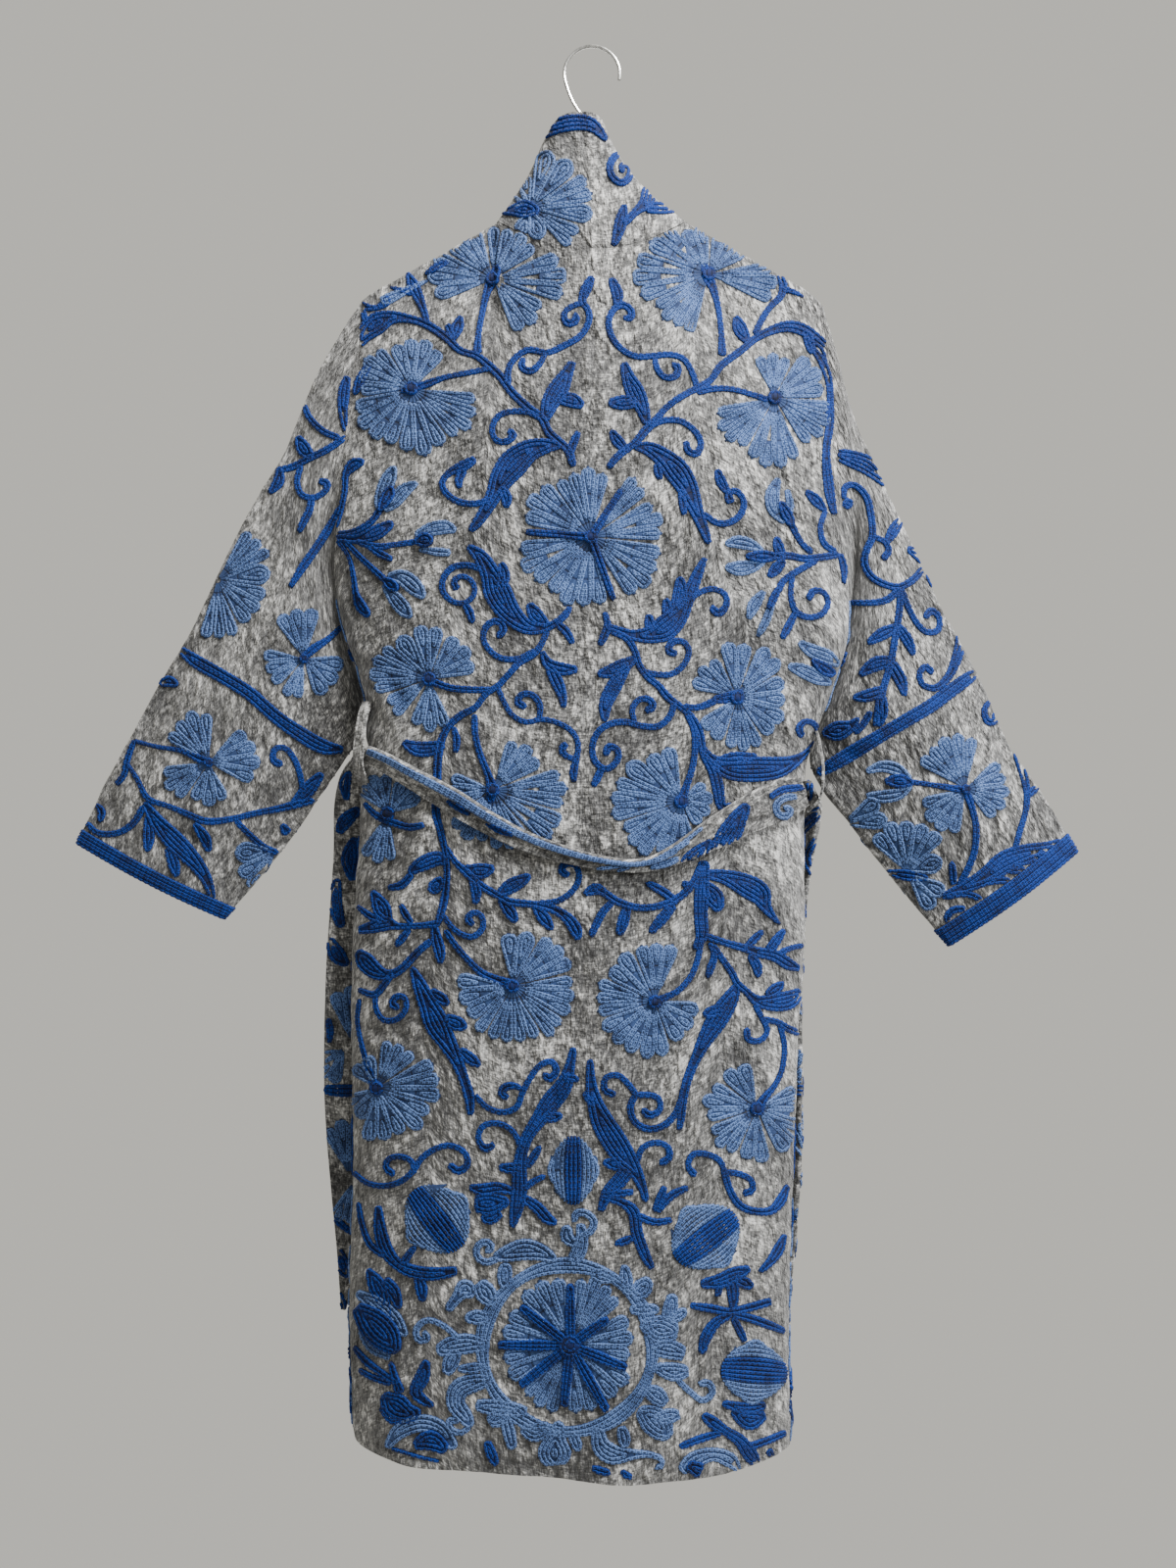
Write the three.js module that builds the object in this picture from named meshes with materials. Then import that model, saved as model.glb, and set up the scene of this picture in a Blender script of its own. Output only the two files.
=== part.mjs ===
// Embroidered kimono-cut robe on a wire hanger, with a loose cloth belt through two side loops.
// Millimetres, +Z up. The back of the robe faces -Y, and left and right are as seen from behind it.
// The origin is the inner top of the hanger's hook, the point that rests on a peg.

import * as THREE from "three";

// ---------- driving dimensions ----------

const CLOTH = 2.5; // thickness of a wall of cloth
const SEAM_GAP = 0.4; // clear space left at a seam
const ARMHOLE_GAP = { back: 1.3, front: 2.5, low: 2.4 }; // body to sleeve, and more towards the underarm
const WIRE_RADIUS = 1.6;
const WIRE_CLEARANCE = 0.4; // between the wire and the cloth that rolls over it
const ROLL_RADIUS = WIRE_RADIUS + WIRE_CLEARANCE + CLOTH / 2; // middle of the cloth over the wire
const WIRE_SAG = 0.7; // how far the wire lies below the middle of that roll
const SHOULDER_SLOPE = 0.56;
const ROLL_DROP = ROLL_RADIUS * Math.hypot(1, SHOULDER_SLOPE); // the same, measured down a slope

const NECK_HALF = 92; // half width of the neck opening
const NECK_TOP = -172; // height of the neck points, on the shoulder line
const NECK_DIP = 37; // how far the back neck curve drops at its middle
const NECK_BULGE = 30; // how far the back neck curve stands out behind the shoulder line
const HANGER_HALF = 203; // half width of the hanger's shoulders
const SHOULDER_HALF = 222;
const SHOULDER_DROOP = { left: 2, right: 6 }; // extra drop past the hanger's end
const UNDERARM = -532; // height of the bottom of the armholes
const ARMHOLE_OPEN = 16; // widest gap between back edge and front edge in an armhole
const UNDERARM_CORNER = 1.6; // extra space at the corner of the two panels under the arm
const HEM = -1347;
const FALL_SHARE = 0.2; // share of the length over which the cloth falls clear of the shoulder line
const BAND_EDGE = 95; // where the front bands are sewn on
const BAND_START = 0.012; // share of the front at which a band's sewn edge starts

// Sides of the body, seen from behind.
const SIDES = [
  { z: -170, left: -222, right: 222 },
  { z: -247, left: -222, right: 222 },
  { z: -330, left: -232, right: 232 },
  { z: -411, left: -240, right: 237 },
  { z: -480, left: -247, right: 245 },
  { z: -528, left: -248, right: 249 },
  { z: -573, left: -237, right: 247 },
  { z: -606, left: -225, right: 238 },
  { z: -640, left: -218, right: 226 },
  { z: -670, left: -218, right: 214 },
  { z: -700, left: -221, right: 206 },
  { z: -791, left: -226, right: 205 },
  { z: -873, left: -231, right: 205 },
  { z: -971, left: -232, right: 198 },
  { z: -1095, left: -230, right: 194 },
  { z: -1212, left: -234, right: 190 },
  { z: -1360, left: -229, right: 191 },
];

// Sections of the body: an elliptic arc out to the seam's angle, of depth `reach` about `offset`,
// and the place of the front at its band.
const SECTIONS = [
  { z: -170, seam: 62, reach: 62, offset: 29, front: 20 },
  { z: -247, seam: 62, reach: 62, offset: 29, front: 26 },
  { z: -330, seam: 62, reach: 68, offset: 26, front: 32 },
  { z: -411, seam: 62, reach: 70, offset: 25, front: 36 },
  { z: -480, seam: 75, reach: 56, offset: 9, front: 38 },
  { z: -532, seam: 90, reach: 50, offset: 4, front: 39 },
  { z: -600, seam: 108, reach: 50, offset: 0, front: 40 },
  { z: -696, seam: 112, reach: 55, offset: 0, front: 40 },
  { z: -1000, seam: 112, reach: 64, offset: 0, front: 42 },
  { z: -1360, seam: 112, reach: 73, offset: 0, front: 43 },
];

// Broad swells of the back's skirt, growing towards the hem.
const SKIRT_SWELLS = [
  { x: 60, width: 70, depth: -8 },
  { x: -70, width: 60, depth: 8 },
];
const SKIRT_TOP = -800;

// Rings of the sleeves past the armhole: outer fold, inner edge, half thickness, outward bow.
const SLEEVE_RINGS = {
  left: [
    { outer: [-246, 1, -283], inner: [-248, 12, -560], half: 12, bow: 7 },
    { outer: [-271, 2, -327], inner: [-238, 18, -590], half: 15, bow: 12 },
    { outer: [-298, 3, -391], inner: [-226, 21, -628], half: 18, bow: 13 },
    { outer: [-325, 4, -437], inner: [-224, 22, -658], half: 20, bow: 9 },
    { outer: [-350, 5, -482], inner: [-243, 22, -687], half: 21, bow: 5 },
    { outer: [-388, 6, -563], inner: [-271, 22, -727], half: 22, bow: 2 },
    { outer: [-422, 7, -620], inner: [-296, 21, -765], half: 21, bow: 0 },
    { outer: [-469, 8, -705], inner: [-335, 20, -814], half: 18, bow: 0 },
    { outer: [-496, 8, -760], inner: [-354, 18, -836], half: 15, bow: 0 },
  ],
  right: [
    { outer: [236, 1, -296], inner: [254, 12, -562], half: 12, bow: 8 },
    { outer: [249, 2, -345], inner: [245, 18, -600], half: 15, bow: 12 },
    { outer: [273, 3, -402], inner: [232, 21, -642], half: 18, bow: 12 },
    { outer: [308, 4, -478], inner: [217, 22, -686], half: 20, bow: 9 },
    { outer: [340, 5, -545], inner: [228, 22, -718], half: 21, bow: 4 },
    { outer: [374, 6, -607], inner: [252, 22, -748], half: 22, bow: 1 },
    { outer: [403, 7, -672], inner: [281, 21, -786], half: 21, bow: 0 },
    { outer: [434, 8, -717], inner: [306, 20, -818], half: 18, bow: 0 },
    { outer: [463, 8, -764], inner: [340, 18, -858], half: 15, bow: 0 },
  ],
};
const CUFF_BORDER = { thickness: 5, lengths: { left: [6, 13], right: [11, 17] } };
const SLEEVE_TIP = ROLL_RADIUS; // radius of the cloth at a fold
const SLEEVE_SIDE_STEPS = 7;

// Top edge of the stand collar, from the left shoulder seam round the back to the right one.
const COLLAR_TOP = [
  { at: -1, x: -58, y: 8, z: -118 },
  { at: -0.8, x: -47, y: -8, z: -99 },
  { at: -0.49, x: -32, y: -18, z: -80 },
  { at: 0, x: -12, y: -22, z: -76 },
  { at: 0.49, x: 7, y: -20, z: -80 },
  { at: 0.8, x: 17, y: -8, z: -98 },
  { at: 1, x: 30, y: 14, z: -118 },
];

// Free edge of each front band, by the height of the sewn edge beside it.
const BAND_FREE_EDGE = {
  left: [
    { z: -178, x: -57, y: 11, up: -122 },
    { z: -215, x: -38, y: 22, up: -165 },
    { z: -300, x: -20, y: 33, up: -262 },
    { z: -420, x: -11, y: 39, up: -400 },
    { z: -600, x: -10, y: 42, up: -592 },
    { z: -1348, x: -10, y: 45, up: -1346 },
  ],
  right: [
    { z: -178, x: 29, y: 17, up: -122 },
    { z: -215, x: 22, y: 24, up: -165 },
    { z: -300, x: 14, y: 33, up: -262 },
    { z: -420, x: 11, y: 39, up: -400 },
    { z: -600, x: 10, y: 42, up: -592 },
    { z: -1348, x: 10, y: 45, up: -1346 },
  ],
};

// The belt across the back: a low swag, folded narrow on the left and lying flat on the right.
const BELT_SWAG = [
  { x: -211, z: -687, width: 17, thickness: 8 },
  { x: -189, z: -697, width: 18, thickness: 8 },
  { x: -160, z: -713, width: 20, thickness: 9 },
  { x: -128, z: -731, width: 22, thickness: 9 },
  { x: -98, z: -749, width: 20, thickness: 9 },
  { x: -62, z: -767, width: 17, thickness: 9 },
  { x: -20, z: -781, width: 14, thickness: 9 },
  { x: 22, z: -789, width: 11, thickness: 9 },
  { x: 50, z: -789, width: 12, thickness: 9 },
  { x: 78, z: -779, width: 18, thickness: 8 },
  { x: 112, z: -761, width: 28, thickness: 6 },
  { x: 146, z: -743, width: 34, thickness: 5 },
  { x: 176, z: -730, width: 38, thickness: 5 },
  { x: 198, z: -722, width: 30, thickness: 6 },
];
const BELT_LIFT = 1.2; // clear space between the back and the belt

// The belt's hanging ends: middle of the strip, its width, thickness and turn about the vertical.
const BELT_TAILS = {
  left: [
    { x: -219.5, y: -18.5, z: -681, width: 8, thickness: 7, turn: 45 },
    { x: -223.5, y: -14, z: -690, width: 11, thickness: 8, turn: 55 },
    { x: -231, y: -3, z: -701, width: 17, thickness: 9, turn: 52 },
    { x: -236, y: 8, z: -714, width: 23, thickness: 8, turn: 40 },
    { x: -239, y: 18, z: -742, width: 30, thickness: 6, turn: 20 },
    { x: -238, y: 24, z: -791, width: 36, thickness: 5, turn: 8 },
    { x: -243, y: 25, z: -893, width: 40, thickness: 5, turn: 4 },
    { x: -245, y: 25, z: -994, width: 41, thickness: 5, turn: 0 },
    { x: -243, y: 26, z: -1060, width: 41, thickness: 5, turn: 0 },
    { x: -241, y: 26, z: -1108, width: 37, thickness: 5, turn: 0 },
    { x: -241, y: 26, z: -1162, width: 27, thickness: 5, turn: 0 },
    { x: -243, y: 26, z: -1200, width: 17, thickness: 5, turn: 0 },
    { x: -247, y: 26, z: -1237, width: 4, thickness: 4, turn: 0 },
  ],
  right: [
    { x: 205.4, y: -15.8, z: -712, width: 8, thickness: 7, turn: -45 },
    { x: 209.5, y: -12, z: -722, width: 11, thickness: 8, turn: -55 },
    { x: 215, y: -2, z: -733, width: 16, thickness: 9, turn: -60 },
    { x: 215, y: 13, z: -750, width: 23, thickness: 8, turn: -60 },
    { x: 210, y: 29, z: -785, width: 32, thickness: 6, turn: -64 },
    { x: 204, y: 37, z: -830, width: 38, thickness: 5, turn: -68 },
    { x: 200, y: 39, z: -900, width: 40, thickness: 5, turn: -70 },
    { x: 199, y: 40, z: -1000, width: 41, thickness: 5, turn: -68 },
    { x: 198, y: 40, z: -1085, width: 40, thickness: 5, turn: -66 },
    { x: 197, y: 40, z: -1150, width: 29, thickness: 5, turn: -64 },
    { x: 196, y: 40, z: -1200, width: 17, thickness: 5, turn: -62 },
    { x: 195, y: 40, z: -1248, width: 4, thickness: 4, turn: -60 },
  ],
};

// Belt loops: narrow straps sewn to the side seams, standing out over the belt.
const LOOPS = {
  left: [
    { x: -215, y: -15.5, z: -636 },
    { x: -219, y: -21, z: -652 },
    { x: -221, y: -26, z: -676 },
    { x: -222, y: -25, z: -698 },
    { x: -218, y: -16.5, z: -714 },
  ],
  right: [
    { x: 215.8, y: -13.3, z: -664 },
    { x: 219, y: -17, z: -680 },
    { x: 221, y: -20, z: -705 },
    { x: 218, y: -19, z: -728 },
    { x: 207, y: -15, z: -742 },
  ],
};
const LOOP = { width: 12, thickness: 2.4, turns: { left: 25, right: -75 } };

// Hanger: one hook of round wire, a neck sleeve and a shoulder frame.
const HOOK_RADIUS = 27;
const HOOK_ARC = { from: -12, to: 198 }; // degrees, from the free tip over the crown
const HOOK_SHANK = [
  [-19, 0, -52],
  [-7, 0, -71],
  [-1, 0, -84],
  [0, 0, -94],
];
const NECK_SLEEVE = { radius: 3.4, top: -105.9, bottom: -124.4 };
const FRAME_START = 2.6; // where each arm starts, beside the middle of the neck sleeve
const FRAME_BAR = -252;
const FRAME_CORNER = 14;
const WIRE_SEGMENTS = 4; // per half turn

const HEATHER = { color: 0x96948f, roughness: 0.95, metalness: 0 };
const BLUE = { color: 0x2b58a4, roughness: 0.9, metalness: 0 };
const STEEL = { color: 0x9a9a98, roughness: 0.4, metalness: 0.9 };

// ---------- helpers ----------

const radians = THREE.MathUtils.degToRad;
const lerp = THREE.MathUtils.lerp;
const clamp = THREE.MathUtils.clamp;
const vec = (x, y, z) => new THREE.Vector3(x, y, z);

function smooth(from, to, value) {
  const t = clamp((value - from) / (to - from), 0, 1);
  return t * t * (3 - 2 * t);
}

// One column of a table, read by a smooth curve through its rows. `key` rises or falls all the way.
function read(rows, column, at, key = "z") {
  const rising = rows.at(-1)[key] > rows[0][key] ? 1 : -1;
  const last = rows.length - 1;
  let i = 0;
  while (i < last - 1 && rising * (at - rows[i + 1][key]) > 0) i += 1;
  const slope = (j) => {
    const before = rows[Math.max(0, j - 1)];
    const after = rows[Math.min(last, j + 1)];
    return (after[column] - before[column]) / (after[key] - before[key]);
  };
  const span = rows[i + 1][key] - rows[i][key];
  const t = clamp((at - rows[i][key]) / span, 0, 1);
  const a = rows[i][column];
  const b = rows[i + 1][column];
  const start = slope(i) * span;
  const end = slope(i + 1) * span;
  const bend = t * (1 - t) * (start * (1 - t) - end * t);
  return lerp(a, b, t * t * (3 - 2 * t)) + bend;
}

function steps(count) {
  return Array.from({ length: count + 1 }, (_, i) => i / count);
}

// Faces of a closed surface from rings of points: each ring is joined to the next.
function ringFaces(rings, perRing, closeRings, faces) {
  const turns = closeRings ? rings : rings - 1;
  for (let r = 0; r < turns; r += 1) {
    for (let k = 0; k < perRing; k += 1) {
      const a = r * perRing + k;
      const b = r * perRing + ((k + 1) % perRing);
      const c = ((r + 1) % rings) * perRing + k;
      const d = ((r + 1) % rings) * perRing + ((k + 1) % perRing);
      faces.push(a, b, c, b, d, c);
    }
  }
}

function signedVolume(points, faces) {
  let total = 0;
  for (let i = 0; i < faces.length; i += 3) {
    const [a, b, c] = [points[faces[i]], points[faces[i + 1]], points[faces[i + 2]]];
    total += a.dot(vec().crossVectors(b, c));
  }
  return total;
}

// A closed body from points and faces, turned so that its faces point out.
function solid(points, faces) {
  if (signedVolume(points, faces) < 0) faces.reverse();
  const geometry = new THREE.BufferGeometry().setFromPoints(points);
  geometry.setIndex(faces);
  geometry.computeVertexNormals();
  return geometry;
}

// A wall of cloth about a grid of points: rows of equal length, closed round each row or not.
// Its section across a row is a ring that runs out along one face and back along the other.
function clothWall(grid, thickness, closedRows) {
  const rows = grid.length;
  const columns = grid[0].length;
  const at = (r, c) => {
    const column = closedRows ? (c + columns) % columns : clamp(c, 0, columns - 1);
    return grid[clamp(r, 0, rows - 1)][column];
  };
  const face = (side) =>
    grid.map((row, r) =>
      row.map((point, c) => {
        const along = at(r, c + 1).clone().sub(at(r, c - 1));
        const down = at(r + 1, c).clone().sub(at(r - 1, c));
        const normal = along.cross(down).normalize();
        return point.clone().addScaledVector(normal, (side * thickness) / 2);
      }),
    );
  const outside = face(1);
  const inside = face(-1);
  const faces = [];
  const points = [];
  if (closedRows) {
    const loops = [...outside, ...inside.reverse()];
    loops.forEach((loop) => points.push(...loop));
    ringFaces(loops.length, columns, true, faces);
    return solid(points, faces);
  }
  outside.forEach((row, r) => points.push(...row, ...inside[r].reverse()));
  ringFaces(rows, 2 * columns, false, faces);
  const cap = (r, order) => {
    const first = r * 2 * columns;
    for (let c = 0; c < columns - 1; c += 1) {
      const [a, b] = [first + c, first + c + 1];
      const [d, e] = [first + 2 * columns - 1 - c, first + 2 * columns - 2 - c];
      const quad = [a, d, b, b, d, e];
      faces.push(...(order ? quad : quad.reverse()));
    }
  };
  cap(0, true);
  cap(rows - 1, false);
  return solid(points, faces);
}

// A strip with rounded edges through stations of { middle, across, out, width, thickness }.
const STRIP_SECTION = [
  [-1, 0],
  [-0.8, -0.85],
  [0, -1],
  [0.8, -0.85],
  [1, 0],
  [0.8, 0.85],
  [0, 1],
  [-0.8, 0.85],
];
function strip(stations) {
  const sides = STRIP_SECTION.length;
  const points = stations.flatMap(({ middle, across, out, width, thickness }) =>
    STRIP_SECTION.map(([a, o]) =>
      middle
        .clone()
        .addScaledVector(across, (a * width) / 2)
        .addScaledVector(out, (o * thickness) / 2),
    ),
  );
  const faces = [];
  ringFaces(stations.length, sides, false, faces);
  const last = (stations.length - 1) * sides;
  for (let k = 1; k < sides - 1; k += 1) {
    faces.push(0, k + 1, k);
    faces.push(last, last + k, last + k + 1);
  }
  return solid(points, faces);
}

// Round wire along a path, with flat ends.
function wire(path, count) {
  const circle = new THREE.Shape().absarc(0, 0, WIRE_RADIUS, 0, 2 * Math.PI, false);
  return new THREE.ExtrudeGeometry(circle, {
    steps: count,
    curveSegments: WIRE_SEGMENTS,
    extrudePath: path,
    bevelEnabled: false,
  });
}

const robe = new THREE.Group();

function add(name, geometry, look) {
  const mesh = new THREE.Mesh(geometry, new THREE.MeshStandardMaterial(look));
  mesh.name = name;
  robe.add(mesh);
}

// ---------- form of the body ----------

const sideSign = { left: -1, right: 1 };

// Height of the top edge of a panel: the neck curve between the neck points, then the shoulder line.
function topHeight(x) {
  const reach = Math.abs(x);
  if (reach < NECK_HALF) return NECK_TOP - NECK_DIP * (1 - (reach / NECK_HALF) ** 2.2);
  const past = Math.max(0, reach - HANGER_HALF) / (SHOULDER_HALF - HANGER_HALF);
  const droop = (x < 0 ? SHOULDER_DROOP.left : SHOULDER_DROOP.right) * past ** 2;
  return NECK_TOP - SHOULDER_SLOPE * (reach - NECK_HALF) - droop;
}

function neckBulge(x) {
  return -NECK_BULGE * Math.max(0, 1 - (x / NECK_HALF) ** 2) ** 0.5;
}

function hemHeight(u) {
  return HEM - 4 * u + 10 * smooth(0.75, 1, -u);
}

function skirtSwell(x, z) {
  const grown = clamp((SKIRT_TOP - z) / (SKIRT_TOP - HEM), 0, 1);
  const swell = SKIRT_SWELLS.reduce(
    (sum, { x: at, width, depth }) => sum + depth * Math.exp(-(((x - at) / width) ** 2)),
    0,
  );
  return swell * grown;
}

// The back's section at height z, from the left seam (u = -1) to the right seam (u = 1).
function backSection(u, z) {
  const left = read(SIDES, "left", z);
  const right = read(SIDES, "right", z);
  const seam = radians(read(SECTIONS, "seam", z));
  const widest = seam < Math.PI / 2 ? Math.sin(seam) : 1;
  const x = (left + right) / 2 + ((right - left) / 2) * (Math.sin(seam * u) / widest);
  const y = read(SECTIONS, "offset", z) - read(SECTIONS, "reach", z) * Math.cos(seam * u);
  return vec(x, y + skirtSwell(x, z) * (1 - u * u), z);
}

// How far the cloth has fallen clear of the shoulder line, 0 at the top edge and 1 below.
function fallen(v) {
  return 1 - (1 - Math.min(1, v / FALL_SHARE)) ** 2;
}

// Rows of one panel: a quarter roll over the wire, which starts just clear of the shoulder seam,
// then evenly down to the hem.
const ROLL_ROWS = [8, 16, 45];
const BODY_ROWS = 26;

// A point of a panel's roll: `side` is -1 for the back and 1 for a front.
function rollPoint(x, side, turn) {
  const angle = radians(turn);
  const top = topHeight(x);
  const rolled = smooth(NECK_HALF - 8, NECK_HALF, Math.abs(x));
  const out = side * ROLL_RADIUS * Math.sin(angle);
  const drop = ROLL_DROP * (1 - Math.cos(angle));
  const y = side < 0 ? neckBulge(x) + rolled * out : out;
  return vec(x, y, top - lerp((ROLL_DROP * turn) / 90, drop, rolled));
}

function backPoint(u, v) {
  const x = backSection(u, NECK_TOP).x;
  const start = rollPoint(x, -1, 90);
  const z = lerp(start.z, hemHeight(u), v);
  const section = backSection(u, z);
  return vec(section.x, lerp(start.y, section.y, fallen(v)), z);
}

// The back's edge at the armhole or the side seam, and the front's edge that faces it.
function edgePair(side, z) {
  const start = topHeight(sideSign[side] * SHOULDER_HALF) - ROLL_DROP;
  const v = clamp((z - start) / (hemHeight(sideSign[side]) - start), 0, 1);
  const back = backPoint(sideSign[side], v);
  const shoulder = topHeight(sideSign[side] * SHOULDER_HALF);
  const down = clamp((back.z - shoulder) / (UNDERARM - shoulder), 0, 1);
  const open = ARMHOLE_OPEN * Math.sin(Math.PI * down) ** 0.8;
  const rolled = 2 * ROLL_RADIUS * (1 - smooth(0, 0.12, down));
  const turned = smooth(-480, -600, back.z);
  const corner = UNDERARM_CORNER * smooth(-440, -500, z) * (1 - smooth(-600, -680, z));
  const inward = -sideSign[side] * 1.6 * SEAM_GAP * turned;
  const front = back.clone().add(vec(inward, open + rolled + 2 * SEAM_GAP + corner, 0));
  return { back, front };
}

// A front panel from its seam (w = 0) to the edge where the band is sewn on (w = 1).
function frontPoint(side, w, v) {
  const sign = sideSign[side];
  const bandX = sign * (BAND_EDGE + SEAM_GAP);
  const start = rollPoint(lerp(sign * SHOULDER_HALF, bandX, w), 1, 90);
  const z = lerp(start.z, lerp(hemHeight(sign), HEM, w), v);
  const edge = edgePair(side, z).front;
  const turned = smooth(-480, -600, z);
  const eased = lerp(w, 0.45 * w + 0.55 * w * w, turned);
  const depth = lerp(ROLL_RADIUS, read(SECTIONS, "front", z), fallen(v));
  const y = lerp(edge.y, Math.max(edge.y, depth), Math.sin((Math.PI / 2) * w));
  return vec(lerp(edge.x, bandX, eased), y, z);
}

// ---------- body panels ----------

function backPanel() {
  const seam = radians(SECTIONS[0].seam);
  const neckShare = Math.asin((NECK_HALF / SHOULDER_HALF) * Math.sin(seam)) / seam;
  const shoulder = steps(9).map((t) => lerp(neckShare, 1, t));
  const neck = steps(8).map((t) => lerp(-neckShare, neckShare, t));
  const columns = [...shoulder.map((t) => -t).reverse(), ...neck.slice(1, -1), ...shoulder];
  const roll = ROLL_ROWS.map((turn) =>
    columns.map((u) => rollPoint(backSection(u, NECK_TOP).x, -1, turn)),
  );
  const fall = steps(BODY_ROWS).map((v) => columns.map((u) => backPoint(u, v)));
  return clothWall([...roll, ...fall], CLOTH, false);
}

function frontPanel(side) {
  const columns = steps(8);
  const roll = ROLL_ROWS.map((turn) =>
    columns.map((w) => {
      const x = frontPoint(side, w, 0).x;
      return rollPoint(x, 1, turn);
    }),
  );
  const fall = steps(BODY_ROWS).map((v) => columns.map((w) => frontPoint(side, w, v)));
  return clothWall([...roll, ...fall], CLOTH, false);
}

// ---------- sleeves ----------

// One ring of a sleeve: rounded folds at both ends and a swell between them.
function sleeveRing(outer, inner, half, bow, sign) {
  const line = inner.clone().sub(outer);
  const along = line.clone().normalize();
  const length = line.length();
  const place = (distance, out) => {
    const share = distance / length;
    const point = outer.clone().addScaledVector(along, distance);
    point.x += sign * bow * Math.sin(Math.PI * share);
    point.y += out;
    return point;
  };
  const slant = SLEEVE_TIP * Math.SQRT1_2;
  const swell = (t) => SLEEVE_TIP + (half - SLEEVE_TIP) * Math.sin(Math.PI * t);
  const sides = steps(SLEEVE_SIDE_STEPS).map((t) => [
    lerp(SLEEVE_TIP, length - SLEEVE_TIP, t),
    swell(t),
  ]);
  const back = [[SLEEVE_TIP - slant, slant], ...sides, [length - SLEEVE_TIP + slant, slant]];
  const tip = place(0, 0);
  const end = place(length, 0);
  const front = [...back].reverse();
  return [
    tip,
    ...back.map(([d, out]) => place(d, -out)),
    end,
    ...front.map(([d, out]) => place(d, out)),
  ];
}

// The first ring lies along the armhole, just outside the edges of the body.
function armholeRing(side) {
  const sign = sideSign[side];
  const shoulder = topHeight(sign * SHOULDER_HALF);
  const plain = sleeveRing(vec(0, 0, shoulder), vec(0, 0, UNDERARM), ARMHOLE_OPEN / 2, 0, sign);
  return plain.map((point) => {
    const { back, front } = edgePair(side, point.z);
    const down = (point.z - shoulder) / (UNDERARM - shoulder);
    const gap = point.y >= 0 ? ARMHOLE_GAP.front : ARMHOLE_GAP.back;
    const x = back.x + sign * (gap + ARMHOLE_GAP.low * smooth(0.5, 0.85, down));
    return vec(x, (back.y + front.y) / 2 + point.y, point.z);
  });
}

function sleeveRings(side) {
  const rings = SLEEVE_RINGS[side].map(({ outer, inner, half, bow }) =>
    sleeveRing(vec(...outer), vec(...inner), half, bow, sideSign[side]),
  );
  return [armholeRing(side), ...rings];
}

function sleeve(side) {
  return clothWall(sleeveRings(side), CLOTH, true);
}

// The worked border carries the last ring on along the sleeve.
function cuffBorder(side) {
  const [before, last] = sleeveRings(side).slice(-2);
  const [dx, dz] = CUFF_BORDER.lengths[side];
  const length = Math.hypot(dx, dz);
  const ring = (distance) =>
    last.map((point, i) => {
      const onward = point.clone().sub(before[i]).normalize();
      return point.clone().addScaledVector(onward, distance);
    });
  const rings = [1.5 * SEAM_GAP, 0.5 * length, length].map(ring);
  return clothWall(rings, CUFF_BORDER.thickness, true);
}

// ---------- collar and bands ----------

// Foot and top of the collar: `share` runs from -1 at the left shoulder seam to 1 at the right one.
function collarLine(share) {
  const x = NECK_HALF * share;
  const foot = vec(x, neckBulge(x), topHeight(x) + SEAM_GAP + lerp(0.5, 1.4, share ** 2));
  const top = vec(...["x", "y", "z"].map((c) => read(COLLAR_TOP, c, share, "at")));
  return { foot, top };
}

function collar() {
  const columns = steps(16).map((t) => lerp(-1, 1, t));
  const lines = columns.map(collarLine);
  const grid = steps(4).map((t) => lines.map(({ foot, top }) => foot.clone().lerp(top, t)));
  return clothWall(grid, CLOTH, false);
}

function frontBand(side) {
  const sign = sideSign[side];
  const rows = steps(20).map((t) => lerp(BAND_START, 1, t ** 1.4));
  const { foot, top } = collarLine(sign);
  const past = vec(sign * SEAM_GAP, 5 * SEAM_GAP, 0);
  const shoulder = steps(3).map((t) => foot.clone().lerp(top, t).add(past));
  const grid = rows.map((v) => {
    const sewn = frontPoint(side, 1, v);
    sewn.x -= sign * SEAM_GAP * (1.5 + 2.5 * (1 - smooth(0, 0.05, v)));
    const free = vec(
      read(BAND_FREE_EDGE[side], "x", sewn.z),
      read(BAND_FREE_EDGE[side], "y", sewn.z),
      read(BAND_FREE_EDGE[side], "up", sewn.z),
    );
    return steps(3).map((t) => sewn.clone().lerp(free, t));
  });
  return clothWall([shoulder, ...grid], CLOTH, false);
}

// ---------- belt and loops ----------

// Place on the back's outer face at x and z, and the direction out of it.
function onBack(x, z) {
  const left = read(SIDES, "left", z);
  const right = read(SIDES, "right", z);
  const sine = clamp((x - (left + right) / 2) / ((right - left) / 2), -1, 1);
  const seam = radians(read(SECTIONS, "seam", z));
  const u = Math.asin(sine) / seam;
  const middle = backSection(u, z);
  const across = backSection(u + 0.02, z).sub(backSection(u - 0.02, z));
  const out = vec(across.y, -across.x, 0).normalize();
  return { middle, out };
}

function beltSwag() {
  const centres = new THREE.CatmullRomCurve3(BELT_SWAG.map(({ x, z }) => vec(x, 0, z)));
  const count = 2 * (BELT_SWAG.length - 1);
  const rows = BELT_SWAG.map((row, at) => ({ ...row, at }));
  const stations = steps(count).map((t) => {
    const point = centres.getPoint(t);
    const width = read(rows, "width", t * (rows.length - 1), "at");
    const thickness = read(rows, "thickness", t * (rows.length - 1), "at");
    const { middle, out } = onBack(point.x, point.z);
    const tangent = centres.getTangent(t);
    const across = vec().crossVectors(out, tangent).normalize();
    middle.addScaledVector(out, CLOTH / 2 + BELT_LIFT + thickness / 2);
    return { middle, across, out, width, thickness };
  });
  return strip(stations);
}

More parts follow.
